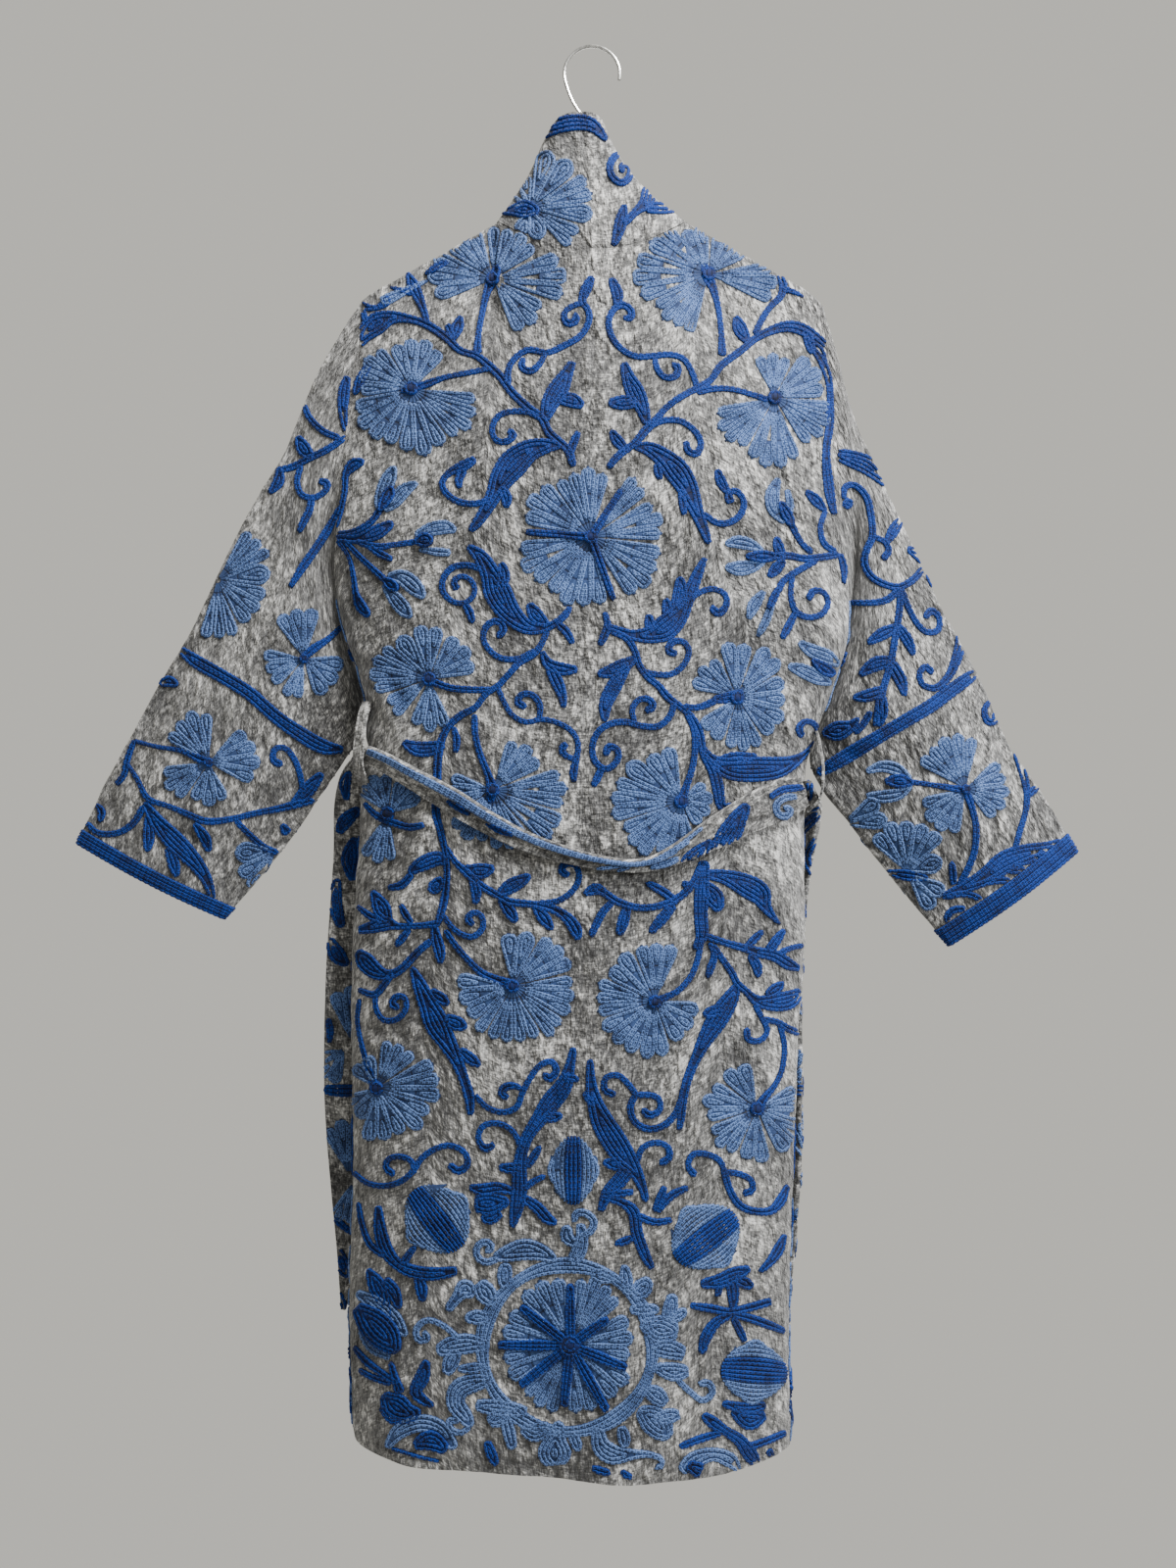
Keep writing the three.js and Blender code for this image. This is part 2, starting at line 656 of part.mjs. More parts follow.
function beltTail(side) {
  const stations = BELT_TAILS[side].map(({ x, y, z, width, thickness, turn }) => {
    const across = vec(Math.cos(radians(turn)), Math.sin(radians(turn)), 0);
    const out = vec(-Math.sin(radians(turn)), Math.cos(radians(turn)), 0);
    return { middle: vec(x, y, z), across, out, width, thickness };
  });
  return strip(stations);
}

function beltLoop(side) {
  const path = new THREE.CatmullRomCurve3(LOOPS[side].map(({ x, y, z }) => vec(x, y, z)));
  const turn = radians(LOOP.turns[side]);
  const across = vec(Math.cos(turn), -Math.sin(turn), 0);
  const stations = steps(10).map((t) => {
    const out = vec().crossVectors(across, path.getTangent(t)).normalize();
    return { middle: path.getPoint(t), across, out, width: LOOP.width, thickness: LOOP.thickness };
  });
  return strip(stations);
}

// ---------- hanger ----------

function hookWire() {
  const centre = WIRE_RADIUS - HOOK_RADIUS;
  const arc = steps(12).map((t) => {
    const angle = radians(lerp(HOOK_ARC.from, HOOK_ARC.to, t));
    return vec(HOOK_RADIUS * Math.cos(angle), 0, centre + HOOK_RADIUS * Math.sin(angle));
  });
  const shank = HOOK_SHANK.map((point) => vec(...point));
  const foot = vec(0, 0, NECK_SLEEVE.top + SEAM_GAP);
  return wire(new THREE.CatmullRomCurve3([...arc, ...shank, foot]), 40);
}

function neckSleeve() {
  const { radius, top, bottom } = NECK_SLEEVE;
  const cylinder = new THREE.CylinderGeometry(radius, radius, top - bottom, 12);
  return cylinder.rotateX(Math.PI / 2).translate(0, 0, (top + bottom) / 2);
}

// The frame starts and ends under the neck sleeve: down one arm, along the bar and up the other.
function shoulderFrame() {
  const arm = (sign) => {
    const lineHeight = (x) => NECK_TOP - SHOULDER_SLOPE * (x - NECK_HALF) - ROLL_DROP - WIRE_SAG;
    const shoulder = lineHeight(HANGER_HALF);
    const near = vec(sign * FRAME_START, 0, lineHeight(FRAME_START));
    const far = vec(sign * (HANGER_HALF - FRAME_CORNER), 0, shoulder + SHOULDER_SLOPE * FRAME_CORNER);
    const corner = vec(sign * HANGER_HALF, 0, (shoulder + FRAME_BAR) / 2);
    const bar = vec(sign * (HANGER_HALF - FRAME_CORNER), 0, FRAME_BAR);
    return { near, far, corner, bar };
  };
  const [right, left] = [arm(1), arm(-1)];
  const path = new THREE.CurvePath();
  path.add(new THREE.LineCurve3(right.near, right.far));
  path.add(new THREE.CubicBezierCurve3(right.far, ...roundCorner(right), right.bar));
  path.add(new THREE.LineCurve3(right.bar, left.bar));
  path.add(new THREE.CubicBezierCurve3(left.bar, ...roundCorner(left).reverse(), left.far));
  path.add(new THREE.LineCurve3(left.far, left.near));
  return wire(path, 72);
}

function roundCorner({ far, corner, bar }) {
  const out = corner.x - far.x;
  const first = vec(corner.x, 0, far.z - SHOULDER_SLOPE * Math.abs(out));
  const second = vec(corner.x, 0, bar.z);
  return [first, second];
}

// ---------- the whole ----------

add("back", backPanel(), HEATHER);
add("collar", collar(), HEATHER);
for (const side of ["left", "right"]) {
  add(`front_${side}`, frontPanel(side), HEATHER);
  add(`front_band_${side}`, frontBand(side), HEATHER);
  add(`sleeve_${side}`, sleeve(side), HEATHER);
  add(`cuff_border_${side}`, cuffBorder(side), BLUE);
  add(`belt_tail_${side}`, beltTail(side), HEATHER);
  add(`belt_loop_${side}`, beltLoop(side), HEATHER);
}
add("belt_swag", beltSwag(), HEATHER);
add("hanger_hook", hookWire(), STEEL);
add("hanger_neck", neckSleeve(), STEEL);
add("hanger_frame", shoulderFrame(), STEEL);

export default robe;
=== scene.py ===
import math

import bpy
import numpy as np
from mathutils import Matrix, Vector
from mathutils.bvhtree import BVHTree


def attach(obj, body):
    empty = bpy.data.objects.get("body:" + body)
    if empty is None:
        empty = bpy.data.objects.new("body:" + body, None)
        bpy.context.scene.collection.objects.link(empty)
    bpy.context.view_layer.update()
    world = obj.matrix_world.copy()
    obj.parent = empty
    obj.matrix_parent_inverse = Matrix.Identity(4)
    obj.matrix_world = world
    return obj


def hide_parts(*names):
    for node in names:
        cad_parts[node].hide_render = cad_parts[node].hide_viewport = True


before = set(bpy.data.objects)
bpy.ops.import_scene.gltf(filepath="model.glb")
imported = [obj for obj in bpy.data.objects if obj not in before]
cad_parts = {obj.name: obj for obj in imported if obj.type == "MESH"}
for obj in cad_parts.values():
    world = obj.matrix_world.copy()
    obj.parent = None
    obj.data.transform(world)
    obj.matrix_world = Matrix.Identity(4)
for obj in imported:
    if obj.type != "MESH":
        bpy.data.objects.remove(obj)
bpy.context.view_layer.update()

# An embroidered kimono-cut robe on a wire hanger, seen from behind. The forms are worked out in
# millimetres, as the solids are, and become metres when a mesh is made.
bpy.ops.object.select_all(action="DESELECT")
MM = 0.001

# ---------- camera, light and floor ----------

EYE = (-0.0038, -1.1, -0.715)
LAYOUT = (1200, 1600)  # width and height of the layout that the pattern is set out in
MIDDLE = (LAYOUT[0] / 2, LAYOUT[1] / 2)
FOCAL = 1155.6  # in pixels of the layout
SENSOR = 36

# name, place, aim, size, power and colour
LIGHTS = [
    ("key_light", (0.65, -0.85, 1.0), (0.05, 0, -0.75), 0.4, 90, (1, 0.985, 0.96)),
    ("side_light", (1.25, -0.75, -0.3), (0.3, 0, -0.8), 0.5, 25, (0.97, 0.985, 1)),
    ("rear_light", (0.6, 1.8, 0.6), (0, 0, -0.7), 1.8, 26, (1, 0.99, 0.97)),
]
BACKDROP = (0.60, 0.585, 0.535, 1)
FLOOR_COLOUR = (0.7, 0.69, 0.66, 1)
FLOOR_RADIUS = 0.6
FLOOR_HEIGHT = -1.9


def set_camera():
    bpy.ops.object.camera_add(location=EYE, rotation=(math.pi / 2, 0, 0))
    camera = bpy.context.object
    camera.name = "camera"
    camera.data.sensor_fit = "VERTICAL"
    camera.data.sensor_height = SENSOR
    camera.data.lens = FOCAL / LAYOUT[1] * SENSOR
    bpy.context.scene.camera = camera


def set_lights():
    for name, place, aim, size, power, colour in LIGHTS:
        bpy.ops.object.light_add(type="AREA", location=place)
        light = bpy.context.object
        light.name = name
        light.rotation_euler = (Vector(aim) - Vector(place)).to_track_quat("-Z", "Y").to_euler()
        light.data.size = size
        light.data.energy = power
        light.data.color = colour


def set_studio():
    set_lights()
    world = bpy.data.worlds.new("studio")
    world.use_nodes = True
    world.node_tree.nodes["Background"].inputs["Color"].default_value = BACKDROP
    world.node_tree.nodes["Background"].inputs["Strength"].default_value = 1.0
    bpy.context.scene.world = world
    bpy.ops.mesh.primitive_circle_add(
        vertices=96, radius=FLOOR_RADIUS, fill_type="NGON", location=(0, 0, FLOOR_HEIGHT))
    floor = bpy.context.object
    floor.name = "floor"
    paint = bpy.data.materials.new("pale_floor")
    paint.use_nodes = True
    surface = paint.node_tree.nodes["Principled BSDF"]
    surface.inputs["Base Color"].default_value = FLOOR_COLOUR
    surface.inputs["Roughness"].default_value = 0.8
    floor.data.materials.append(paint)


# ---------- sizes of the robe ----------

NECK_HALF = 92
NECK_TOP = -172
NECK_DIP = 37
NECK_BULGE = 30
SHOULDER_SLOPE = 0.56
SHOULDER_HALF = 222
HANGER_HALF = 203
SHOULDER_DROOP = {"left": 2, "right": 6}
ROLL_RADIUS = 3.25
ROLL_TURNS = (8, 20, 34, 48, 62, 76)  # degrees over the wire at which the roll has a row of points
ROLL_DROP = ROLL_RADIUS * math.hypot(1, SHOULDER_SLOPE)
UNDERARM = -532
UNDERARM_TURN = (-480, -600)  # heights between which the armhole's edge becomes the side seam
ARMHOLE_OPEN = 16
UNDERARM_CORNER = 1.6
CORNER_START = (-440, -500)  # heights between which the corner grows, and fades
CORNER_END = (-600, -680)
ARMHOLE_GAP = {"back": 0.1, "front": 0.5, "low": 0.2}
HEM = -1347
HEM_TILT = 4
HEM_CORNER = 10  # how much higher the hem is at the left seam
HEM_DEPTH = 27
HEM_EXTRA = 0.9
HEM_WAVE = 1.6
HEM_WAVELENGTH = 15
FALL_SHARE = 0.2
SWELL_TOP = -800
SWELLS = [(-8, 60, 70), (8, -70, 60)]  # depth at the hem, place and width
BAND_EDGE = 95
BAND_START = 0.012
SEAM_GAP = 0.4
CLOTH = 2.0
PROUD = 0.25  # the outer face keeps its place while the cloth is thinner than the solid
EDGE_CLOTH = (3.0, 1.8)  # the cuff's worked edge, at the sleeve and at its own end
LOOP_CLOTH = 1.9
LOOP_HALF = 5.6
BAND_ROWS = 170
COLLAR_SINK = 0.2
COLLAR_LIFT = 0.9
SEEDS = {"back": 3, "front": 11, "sleeve": 21, "collar": 31, "sash": 41}
SIGN = {"left": -1, "right": 1}

# height, left side, right side
SIDES = [
    (-170, -222, 222), (-247, -222, 222), (-330, -232, 232), (-411, -240, 237), (-480, -247, 245),
    (-528, -248, 249), (-573, -237, 247), (-606, -225, 238), (-640, -218, 226), (-670, -218, 214),
    (-700, -221, 206), (-791, -226, 205), (-873, -231, 205), (-971, -232, 198), (-1095, -230, 194),
    (-1212, -234, 190), (-1360, -229, 191),
]

# height, angle of the seam, depth of the arc, its offset, place of the front at its band
SECTIONS = [
    (-170, 62, 62, 29, 20), (-247, 62, 62, 29, 26), (-330, 62, 68, 26, 32), (-411, 62, 70, 25, 36),
    (-480, 75, 56, 9, 38), (-532, 90, 50, 4, 39), (-600, 108, 50, 0, 40), (-696, 112, 55, 0, 40),
    (-1000, 112, 64, 0, 42), (-1360, 112, 73, 0, 43),
]

# outer fold, inner edge, half thickness and outward bow of each ring of a sleeve
SLEEVE_RINGS = {
    "left": [
        ((-246, 1, -283), (-248, 12, -560), 12, 7), ((-271, 2, -327), (-238, 18, -590), 15, 12),
        ((-298, 3, -391), (-226, 21, -628), 18, 13), ((-325, 4, -437), (-224, 22, -658), 20, 9),
        ((-350, 5, -482), (-243, 22, -687), 21, 5), ((-388, 6, -563), (-271, 22, -727), 22, 2),
        ((-422, 7, -620), (-296, 21, -765), 21, 0), ((-469, 8, -705), (-335, 20, -814), 18, 0),
        ((-496, 8, -760), (-354, 18, -836), 15, 0),
    ],
    "right": [
        ((236, 1, -296), (254, 12, -562), 12, 8), ((249, 2, -345), (245, 18, -600), 15, 12),
        ((273, 3, -402), (232, 21, -642), 18, 12), ((308, 4, -478), (217, 22, -686), 20, 9),
        ((340, 5, -545), (228, 22, -718), 21, 4), ((374, 6, -607), (252, 22, -748), 22, 1),
        ((403, 7, -672), (281, 21, -786), 21, 0), ((434, 8, -717), (306, 20, -818), 18, 0),
        ((463, 8, -764), (340, 18, -858), 15, 0),
    ],
}
CUFF_LENGTHS = {"left": (6, 13), "right": (11, 17)}

# share round the neck, then the place of the collar's top edge
COLLAR_TOP = [
    (-1, -58, 8, -118), (-0.8, -47, -8, -99), (-0.49, -32, -18, -80), (0, -12, -22, -76),
    (0.49, 7, -20, -80), (0.8, 17, -8, -98), (1, 30, 14, -118),
]

# height of the sewn edge, then the place of the free edge beside it
BAND_FREE_EDGE = {
    "left": [
        (-178, -57, 11, -122), (-215, -38, 22, -165), (-300, -20, 33, -262),
        (-420, -11, 39, -400), (-600, -10, 42, -592), (-1348, -10, 45, -1346),
    ],
    "right": [
        (-178, 29, 17, -122), (-215, 22, 24, -165), (-300, 14, 33, -262),
        (-420, 11, 39, -400), (-600, 10, 42, -592), (-1348, 10, 45, -1346),
    ],
}

# place along the belt, then x, height, width and thickness
BELT_SWAG = [
    (0, -211, -687, 17, 8), (1, -189, -697, 18, 8), (2, -160, -713, 20, 9), (3, -128, -731, 22, 9),
    (4, -98, -749, 20, 9), (5, -62, -767, 17, 9), (6, -20, -781, 14, 9), (7, 22, -789, 11, 9),
    (8, 50, -789, 12, 9), (9, 78, -779, 18, 8), (10, 112, -761, 28, 6), (11, 146, -743, 34, 5),
    (12, 176, -730, 38, 5), (13, 198, -722, 30, 6),
]
BELT_LIFT = 1.2

# place along the end, then its middle, width, thickness and turn about the vertical
BELT_TAILS = {
    "left": [
        (0, -219.5, -18.5, -681, 8, 7, 45), (1, -223.5, -14, -690, 11, 8, 55),
        (2, -231, -3, -701, 17, 9, 52), (3, -236, 8, -714, 23, 8, 40), (4, -239, 18, -742, 30, 6, 20),
        (5, -238, 24, -791, 36, 5, 8), (6, -243, 25, -893, 40, 5, 4), (7, -245, 25, -994, 41, 5, 0),
        (8, -243, 26, -1060, 41, 5, 0), (9, -241, 26, -1108, 37, 5, 0), (10, -241, 26, -1162, 27, 5, 0),
        (11, -243, 26, -1200, 17, 5, 0), (12, -247, 26, -1237, 4, 4, 0),
    ],
    "right": [
        (0, 205.4, -15.8, -712, 8, 7, -45), (1, 209.5, -12, -722, 11, 8, -55),
        (2, 215, -2, -733, 16, 9, -60), (3, 215, 13, -750, 23, 8, -60), (4, 210, 29, -785, 32, 6, -64),
        (5, 204, 37, -830, 38, 5, -68), (6, 200, 39, -900, 40, 5, -70), (7, 199, 40, -1000, 41, 5, -68),
        (8, 198, 40, -1085, 40, 5, -66), (9, 197, 40, -1150, 29, 5, -64),
        (10, 196, 40, -1200, 17, 5, -62), (11, 195, 40, -1248, 4, 4, -60),
    ],
}
LOOPS = {
    "left": [
        (0, -215, -15.5, -636), (1, -219, -21, -652), (2, -221, -26, -676),
        (3, -222, -25, -698), (4, -218, -16.5, -714),
    ],
    "right": [
        (0, 215.8, -13.3, -664), (1, 219, -17, -680), (2, 221, -20, -705),
        (3, 218, -19, -728), (4, 207, -15, -742),
    ],
}
LOOP_TURN = {"left": 25, "right": -75}

# ---------- folds of the cloth: x and height of both ends, half width, height of the ridge ----------

BACK_FOLDS = [
    (4, -215, 6, -700, 3.5, -1.0), (6, -700, 4, -1330, 4, -1.3), (-4, -260, -2, -1250, 5, 0.5),
    (15, -260, 14, -1250, 6, 0.5),
    (-214, -610, -160, -706, 11, 6), (-190, -618, -150, -690, 9, -4), (-228, -668, -176, -716, 7, -4),
    (-152, -735, -170, -800, 10, 5), (-133, -742, -146, -830, 9, -4), (-186, -742, -194, -850, 8, -3.5),
    (196, -640, 150, -720, 10, 3.5), (204, -700, 168, -748, 8, -3), (150, -760, 172, -860, 11, 3),
    (-120, -780, -138, -1000, 16, 2.5), (110, -800, 128, -1040, 18, 2.2),
    (-70, -820, -84, -1180, 22, 2), (62, -900, 74, -1260, 24, -2), (-30, -1000, -40, -1320, 20, -2),
    (-180, -1000, -176, -1330, 16, 3), (-146, -1080, -142, -1340, 14, -2.6),
    (148, -1060, 146, -1340, 15, 2.6), (110, -1150, 106, -1345, 13, -2.4),
    (-225, -470, -150, -560, 14, 2.5), (-236, -520, -190, -600, 9, -2.5),
    (228, -470, 160, -565, 14, 2.5), (238, -520, 188, -606, 9, -2.5),
    (-130, -260, -160, -470, 20, 1.6), (128, -262, 160, -470, 20, 1.6), (-60, -300, -74, -560, 24, 1.2),
    (64, -310, 80, -560, 24, 1.2), (-90, -600, -50, -640, 9, 1.4), (96, -612, 60, -650, 9, 1.4),
    (-40, -655, 40, -662, 8, 1.1), (-100, -870, -30, -880, 9, 0.9), (30, -1000, 110, -990, 9, 0.9),
]
FRONT_FOLDS = {
    "left": [
        (-160, -260, -150, -560, 20, 2.5), (-130, -420, -140, -900, 18, -2.5),
        (-110, -640, -118, -1320, 14, 2.2), (-190, -660, -176, -1330, 15, -2.5),
        (-160, -900, -150, -1340, 12, 2.2), (-215, -560, -150, -640, 11, 2),
    ],
    "right": [
        (156, -262, 150, -560, 20, 2.4), (128, -430, 136, -920, 18, -2.4),
        (112, -650, 116, -1320, 14, 2.2), (186, -680, 170, -1330, 13, -2.4),
        (150, -880, 146, -1340, 12, 2.2), (214, -560, 150, -650, 11, 2),
    ],
}
SLEEVE_FOLDS = {
    "left": [
        (-262, -330, -300, -560, 14, -2.4), (-300, -420, -330, -600, 11, 2.4),
        (-240, -600, -330, -640, 12, 2.6), (-236, -640, -330, -690, 9, -2.4),
        (-280, -700, -400, -690, 12, 2.6), (-300, -752, -420, -752, 9, 2.2),
        (-340, -800, -452, -742, 9, -2.2), (-384, -590, -430, -700, 11, 2),
        (-356, -826, -440, -770, 7, 2),
    ],
    "right": [
        (256, -345, 272, -560, 14, -2.2), (288, -450, 308, -600, 11, 2.2),
        (236, -630, 318, -650, 12, 2.6), (232, -676, 330, -706, 9, -2.4),
        (258, -740, 376, -716, 12, 2.6), (284, -780, 392, -764, 9, 2.2),
        (322, -822, 420, -766, 9, -2.2), (356, -600, 392, -712, 11, 2),
        (338, -846, 418, -792, 7, 2),
    ],
}

# ---------- working out the forms ----------


def smooth(start, end, value):
    t = np.clip((np.asarray(value, float) - start) / (end - start), 0, 1)
    return t * t * (3 - 2 * t)


def between(a, b, t):
    return a + (b - a) * t


def flow(keys, values, at):
    """A smooth curve through a few rows of values."""
    keys = np.asarray(keys, float)
    values = np.asarray(values, float)
    if keys[-1] < keys[0]:
        keys, values = keys[::-1], values[::-1]
    shape = (-1,) + (1,) * (values.ndim - 1)
    slopes = np.empty_like(values)
    slopes[1:-1] = (values[2:] - values[:-2]) / (keys[2:] - keys[:-2]).reshape(shape)
    slopes[0] = (values[1] - values[0]) / (keys[1] - keys[0])
    slopes[-1] = (values[-1] - values[-2]) / (keys[-1] - keys[-2])
    at = np.clip(at, keys[0], keys[-1])
    i = np.clip(np.searchsorted(keys, at, side="right") - 1, 0, len(keys) - 2)
    span = keys[i + 1] - keys[i]
    t = (at - keys[i]) / span
    if values.ndim > 1:
        t = t.reshape(shape)
        span = span.reshape(shape)
    bend = t * (1 - t) * (slopes[i] * span * (1 - t) - slopes[i + 1] * span * t)
    return values[i] + (values[i + 1] - values[i]) * t * t * (3 - 2 * t) + bend


def read(rows, column, at):
    return flow([row[0] for row in rows], [row[column] for row in rows], at)


def top_height(x):
    reach = np.abs(x)
    neck = NECK_TOP - NECK_DIP * (1 - np.minimum(1, reach / NECK_HALF) ** 2.2)
    past = np.maximum(0, reach - HANGER_HALF) / (SHOULDER_HALF - HANGER_HALF)
    droop = np.where(x < 0, SHOULDER_DROOP["left"], SHOULDER_DROOP["right"]) * past**2
    return np.where(reach < NECK_HALF, neck, NECK_TOP - SHOULDER_SLOPE * (reach - NECK_HALF) - droop)


def neck_bulge(x):
    return -NECK_BULGE * np.sqrt(np.maximum(0, 1 - (x / NECK_HALF) ** 2))


def hem_height(u):
    return HEM - HEM_TILT * u + HEM_CORNER * smooth(0.75, 1, -u)


def skirt_swell(x, z):
    grown = np.clip((SWELL_TOP - z) / (SWELL_TOP - HEM), 0, 1)
    return sum(height * np.exp(-(((x - place) / width) ** 2)) for height, place, width in SWELLS) * grown


def back_section(u, z):
    left, right = read(SIDES, 1, z), read(SIDES, 2, z)
    seam = np.radians(read(SECTIONS, 1, z))
    widest = np.where(seam < np.pi / 2, np.sin(seam), 1)
    x = (left + right) / 2 + (right - left) / 2 * np.sin(seam * u) / widest
    y = read(SECTIONS, 3, z) - read(SECTIONS, 2, z) * np.cos(seam * u)
    return x, y + skirt_swell(x, z) * (1 - u * u)


def fallen(v):
    return 1 - (1 - np.minimum(1, v / FALL_SHARE)) ** 2


def roll_place(x, side, turn):
    """The cloth's roll over the hanger's wire: side is -1 for the back and 1 for a front."""
    angle = math.radians(turn)
    rolled = smooth(NECK_HALF - 8, NECK_HALF, np.abs(x))
    out = side * ROLL_RADIUS * math.sin(angle)
    drop = ROLL_DROP * (1 - math.cos(angle))
    y = neck_bulge(x) + rolled * out if side < 0 else out + 0 * x
    return np.stack([x, y, top_height(x) - between(ROLL_DROP * turn / 90, drop, rolled)], -1)


def back_place(u, v):
    x, _ = back_section(u, np.full_like(u, float(NECK_TOP)))
    start = roll_place(x, -1, 90)
    z = between(start[..., 2], hem_height(u), v)
    x, y = back_section(u, z)
    return np.stack([x, between(start[..., 1], y, fallen(v)), z], -1)


def edge_pair(side, z):
    """The back's edge at the armhole or side seam, and the front's edge that faces it."""
    sign = SIGN[side]
    shoulder = float(top_height(np.array(sign * SHOULDER_HALF)))
    start = shoulder - ROLL_DROP
    end = float(hem_height(sign))
    v = np.clip((z - start) / (end - start), 0, 1)
    back = back_place(np.full_like(v, float(sign)), v)
    down = np.clip((back[..., 2] - shoulder) / (UNDERARM - shoulder), 0, 1)
    spread = ARMHOLE_OPEN * np.sin(np.pi * down) ** 0.8
    rolled = 2 * ROLL_RADIUS * (1 - smooth(0, 0.12, down))
    turned = smooth(*UNDERARM_TURN, back[..., 2])
    corner = UNDERARM_CORNER * smooth(*CORNER_START, z) * (1 - smooth(*CORNER_END, z))
    front = back.copy()
    front[..., 0] -= sign * 1.6 * SEAM_GAP * turned
    front[..., 1] += spread + rolled + 2 * SEAM_GAP + corner
    return back, front


def front_place(side, w, v):
    """A front from its seam, w = 0, to the edge where the band is sewn on, w = 1."""
    sign = SIGN[side]
    band = sign * (BAND_EDGE + SEAM_GAP)
    start = roll_place(between(sign * SHOULDER_HALF, band, w), 1, 90)
    z = between(start[..., 2], between(float(hem_height(sign)), HEM, w), v)
    edge = edge_pair(side, z)[1]
    turned = smooth(*UNDERARM_TURN, z)
    eased = between(w, 0.45 * w + 0.55 * w * w, turned)
    depth = between(ROLL_RADIUS, read(SECTIONS, 4, z), fallen(v))
    y = between(edge[..., 1], np.maximum(edge[..., 1], depth), np.sin(np.pi / 2 * w))
    return np.stack([between(edge[..., 0], band, eased), y, z], -1)


# ---------- sheets of cloth ----------


def unit(vectors):
    return vectors / np.maximum(1e-9, np.linalg.norm(vectors, axis=-1, keepdims=True))


def grid_normals(grid, closed):
    if closed:
        along = np.roll(grid, -1, 1) - np.roll(grid, 1, 1)
    else:
        along = np.gradient(grid, axis=1)
    return unit(np.cross(along, np.gradient(grid, axis=0)))


def fold_lift(x, z, folds):
    """How far the folds in a short table stand off the plain form: soft ridges and troughs."""
    lift = np.zeros_like(x)
    for x0, z0, x1, z1, width, height in folds:
        dx, dz = x1 - x0, z1 - z0
        length = math.hypot(dx, dz)
        s = ((x - x0) * dx + (z - z0) * dz) / length**2
        away = ((x - x0) * dz - (z - z0) * dx) / length + 0.06 * length * np.sin(np.pi * s) * np.sign(height)
        taper = smooth(-0.12, 0.3, s) * (1 - smooth(0.65, 1.12, s))
        lift += height * taper * np.exp(-((away / (width * (0.8 + 0.5 * np.clip(s, 0, 1)))) ** 2))
    return lift


def soft_noise(a, b, cell, seed):
    """Smooth uneven heights between -1 and 1, the same on every run."""
    rng = np.random.default_rng(seed)
    table = rng.uniform(-1, 1, (128, 128))
    a, b = a / cell + 31.7, b / cell + 57.3
    i, j = np.floor(a).astype(int), np.floor(b).astype(int)
    s, t = smooth(0, 1, a - i), smooth(0, 1, b - j)

    def knot(di, dj):
        return table[(i + di) % 128, (j + dj) % 128]

    near = between(knot(0, 0), knot(1, 0), s)
    far = between(knot(0, 1), knot(1, 1), s)
    return between(near, far, t)


THREAD_LINES = "thread_lines"
ON_A_THREAD = 0.25  # place across a row of chain stitch where its thread is, clear of the hole


def new_mesh(name, points, faces, uvs, material, angle=50):
    mesh = bpy.data.meshes.new(name)
    mesh.from_pydata((np.asarray(points) * MM).tolist(), [], np.asarray(faces).tolist())
    layer = mesh.uv_layers.new(name=THREAD_LINES)
    layer.data.foreach_set("uv", np.asarray(uvs, np.float32).ravel())
    mesh.materials.append(material)
    mesh.validate()
    mesh.shade_smooth()
    mesh.set_sharp_from_angle(angle=math.radians(angle))
    piece = bpy.data.objects.new(name, mesh)
    bpy.context.scene.collection.objects.link(piece)
    return piece


def cloth_sheet(name, grid, thick, material, closed=False, facing=1):
    """A closed shell of cloth about a grid of points. facing is 1 where across-by-down points outwards."""
    rows, columns = grid.shape[:2]
    thick = np.broadcast_to(np.asarray(thick, float), (rows, columns))[..., None]
    out = facing * grid_normals(grid, closed)
    outer = grid + out * (PROUD + thick / 2)
    inner = grid + out * (PROUD - thick / 2)
    if closed:
        wide = np.concatenate([grid, grid[:, :1]], 1)
    else:
        wide = grid
    across = np.zeros(wide.shape[:2])
    across[:, 1:] = np.cumsum(np.linalg.norm(np.diff(wide, axis=1), axis=-1), 1)
    across -= across[:, [wide.shape[1] // 2]]
    down = np.zeros(wide.shape[:2])
    down[1:] = np.cumsum(np.linalg.norm(np.diff(wide, axis=0), axis=-1), 0)
    lines = np.stack([across, -down], -1).reshape(-1, 2) * MM
    if material == ROYAL:
        lines[:, 0] = ON_A_THREAD
    size = wide.shape[0] * wide.shape[1]

    def rim(a, b):
        return np.stack([a, b, b + size, a + size], 1)

    index = np.arange(size).reshape(wide.shape[:2])
    a, b = index[:-1, :-1].ravel(), index[:-1, 1:].ravel()
    d, c = index[1:, :-1].ravel(), index[1:, 1:].ravel()
    quads = [np.stack([a, b, c, d], 1), np.stack([d, c, b, a], 1) + size]
    first, last = index[0], index[-1]
    quads.append(rim(first[1:], first[:-1]))
    quads.append(rim(last[:-1], last[1:]))
    if not closed:
        left, right = index[:, 0], index[:, -1]
        quads.append(rim(left[:-1], left[1:]))
        quads.append(rim(right[1:], right[:-1]))
    quads = np.concatenate(quads)
    if facing < 0:
        quads = quads[:, ::-1]
    uvs = lines[quads % size]
    r, k = np.divmod(np.arange(size), wide.shape[1])
    vertex = r * columns + k % columns
    vertex = np.concatenate([vertex, vertex + rows * columns])
    points = np.concatenate([outer.reshape(-1, 3), inner.reshape(-1, 3)])
    return new_mesh(name, points, vertex[quads], uvs, material), outer, out


def puckers(grid, seed, height=1.2):
    x, z = grid[..., 0] + grid[..., 1], grid[..., 2]
    return height * (0.6 * soft_noise(x, z, 17, seed) + 0.4 * soft_noise(x, z, 9, seed + 1))


# ---------- materials ----------


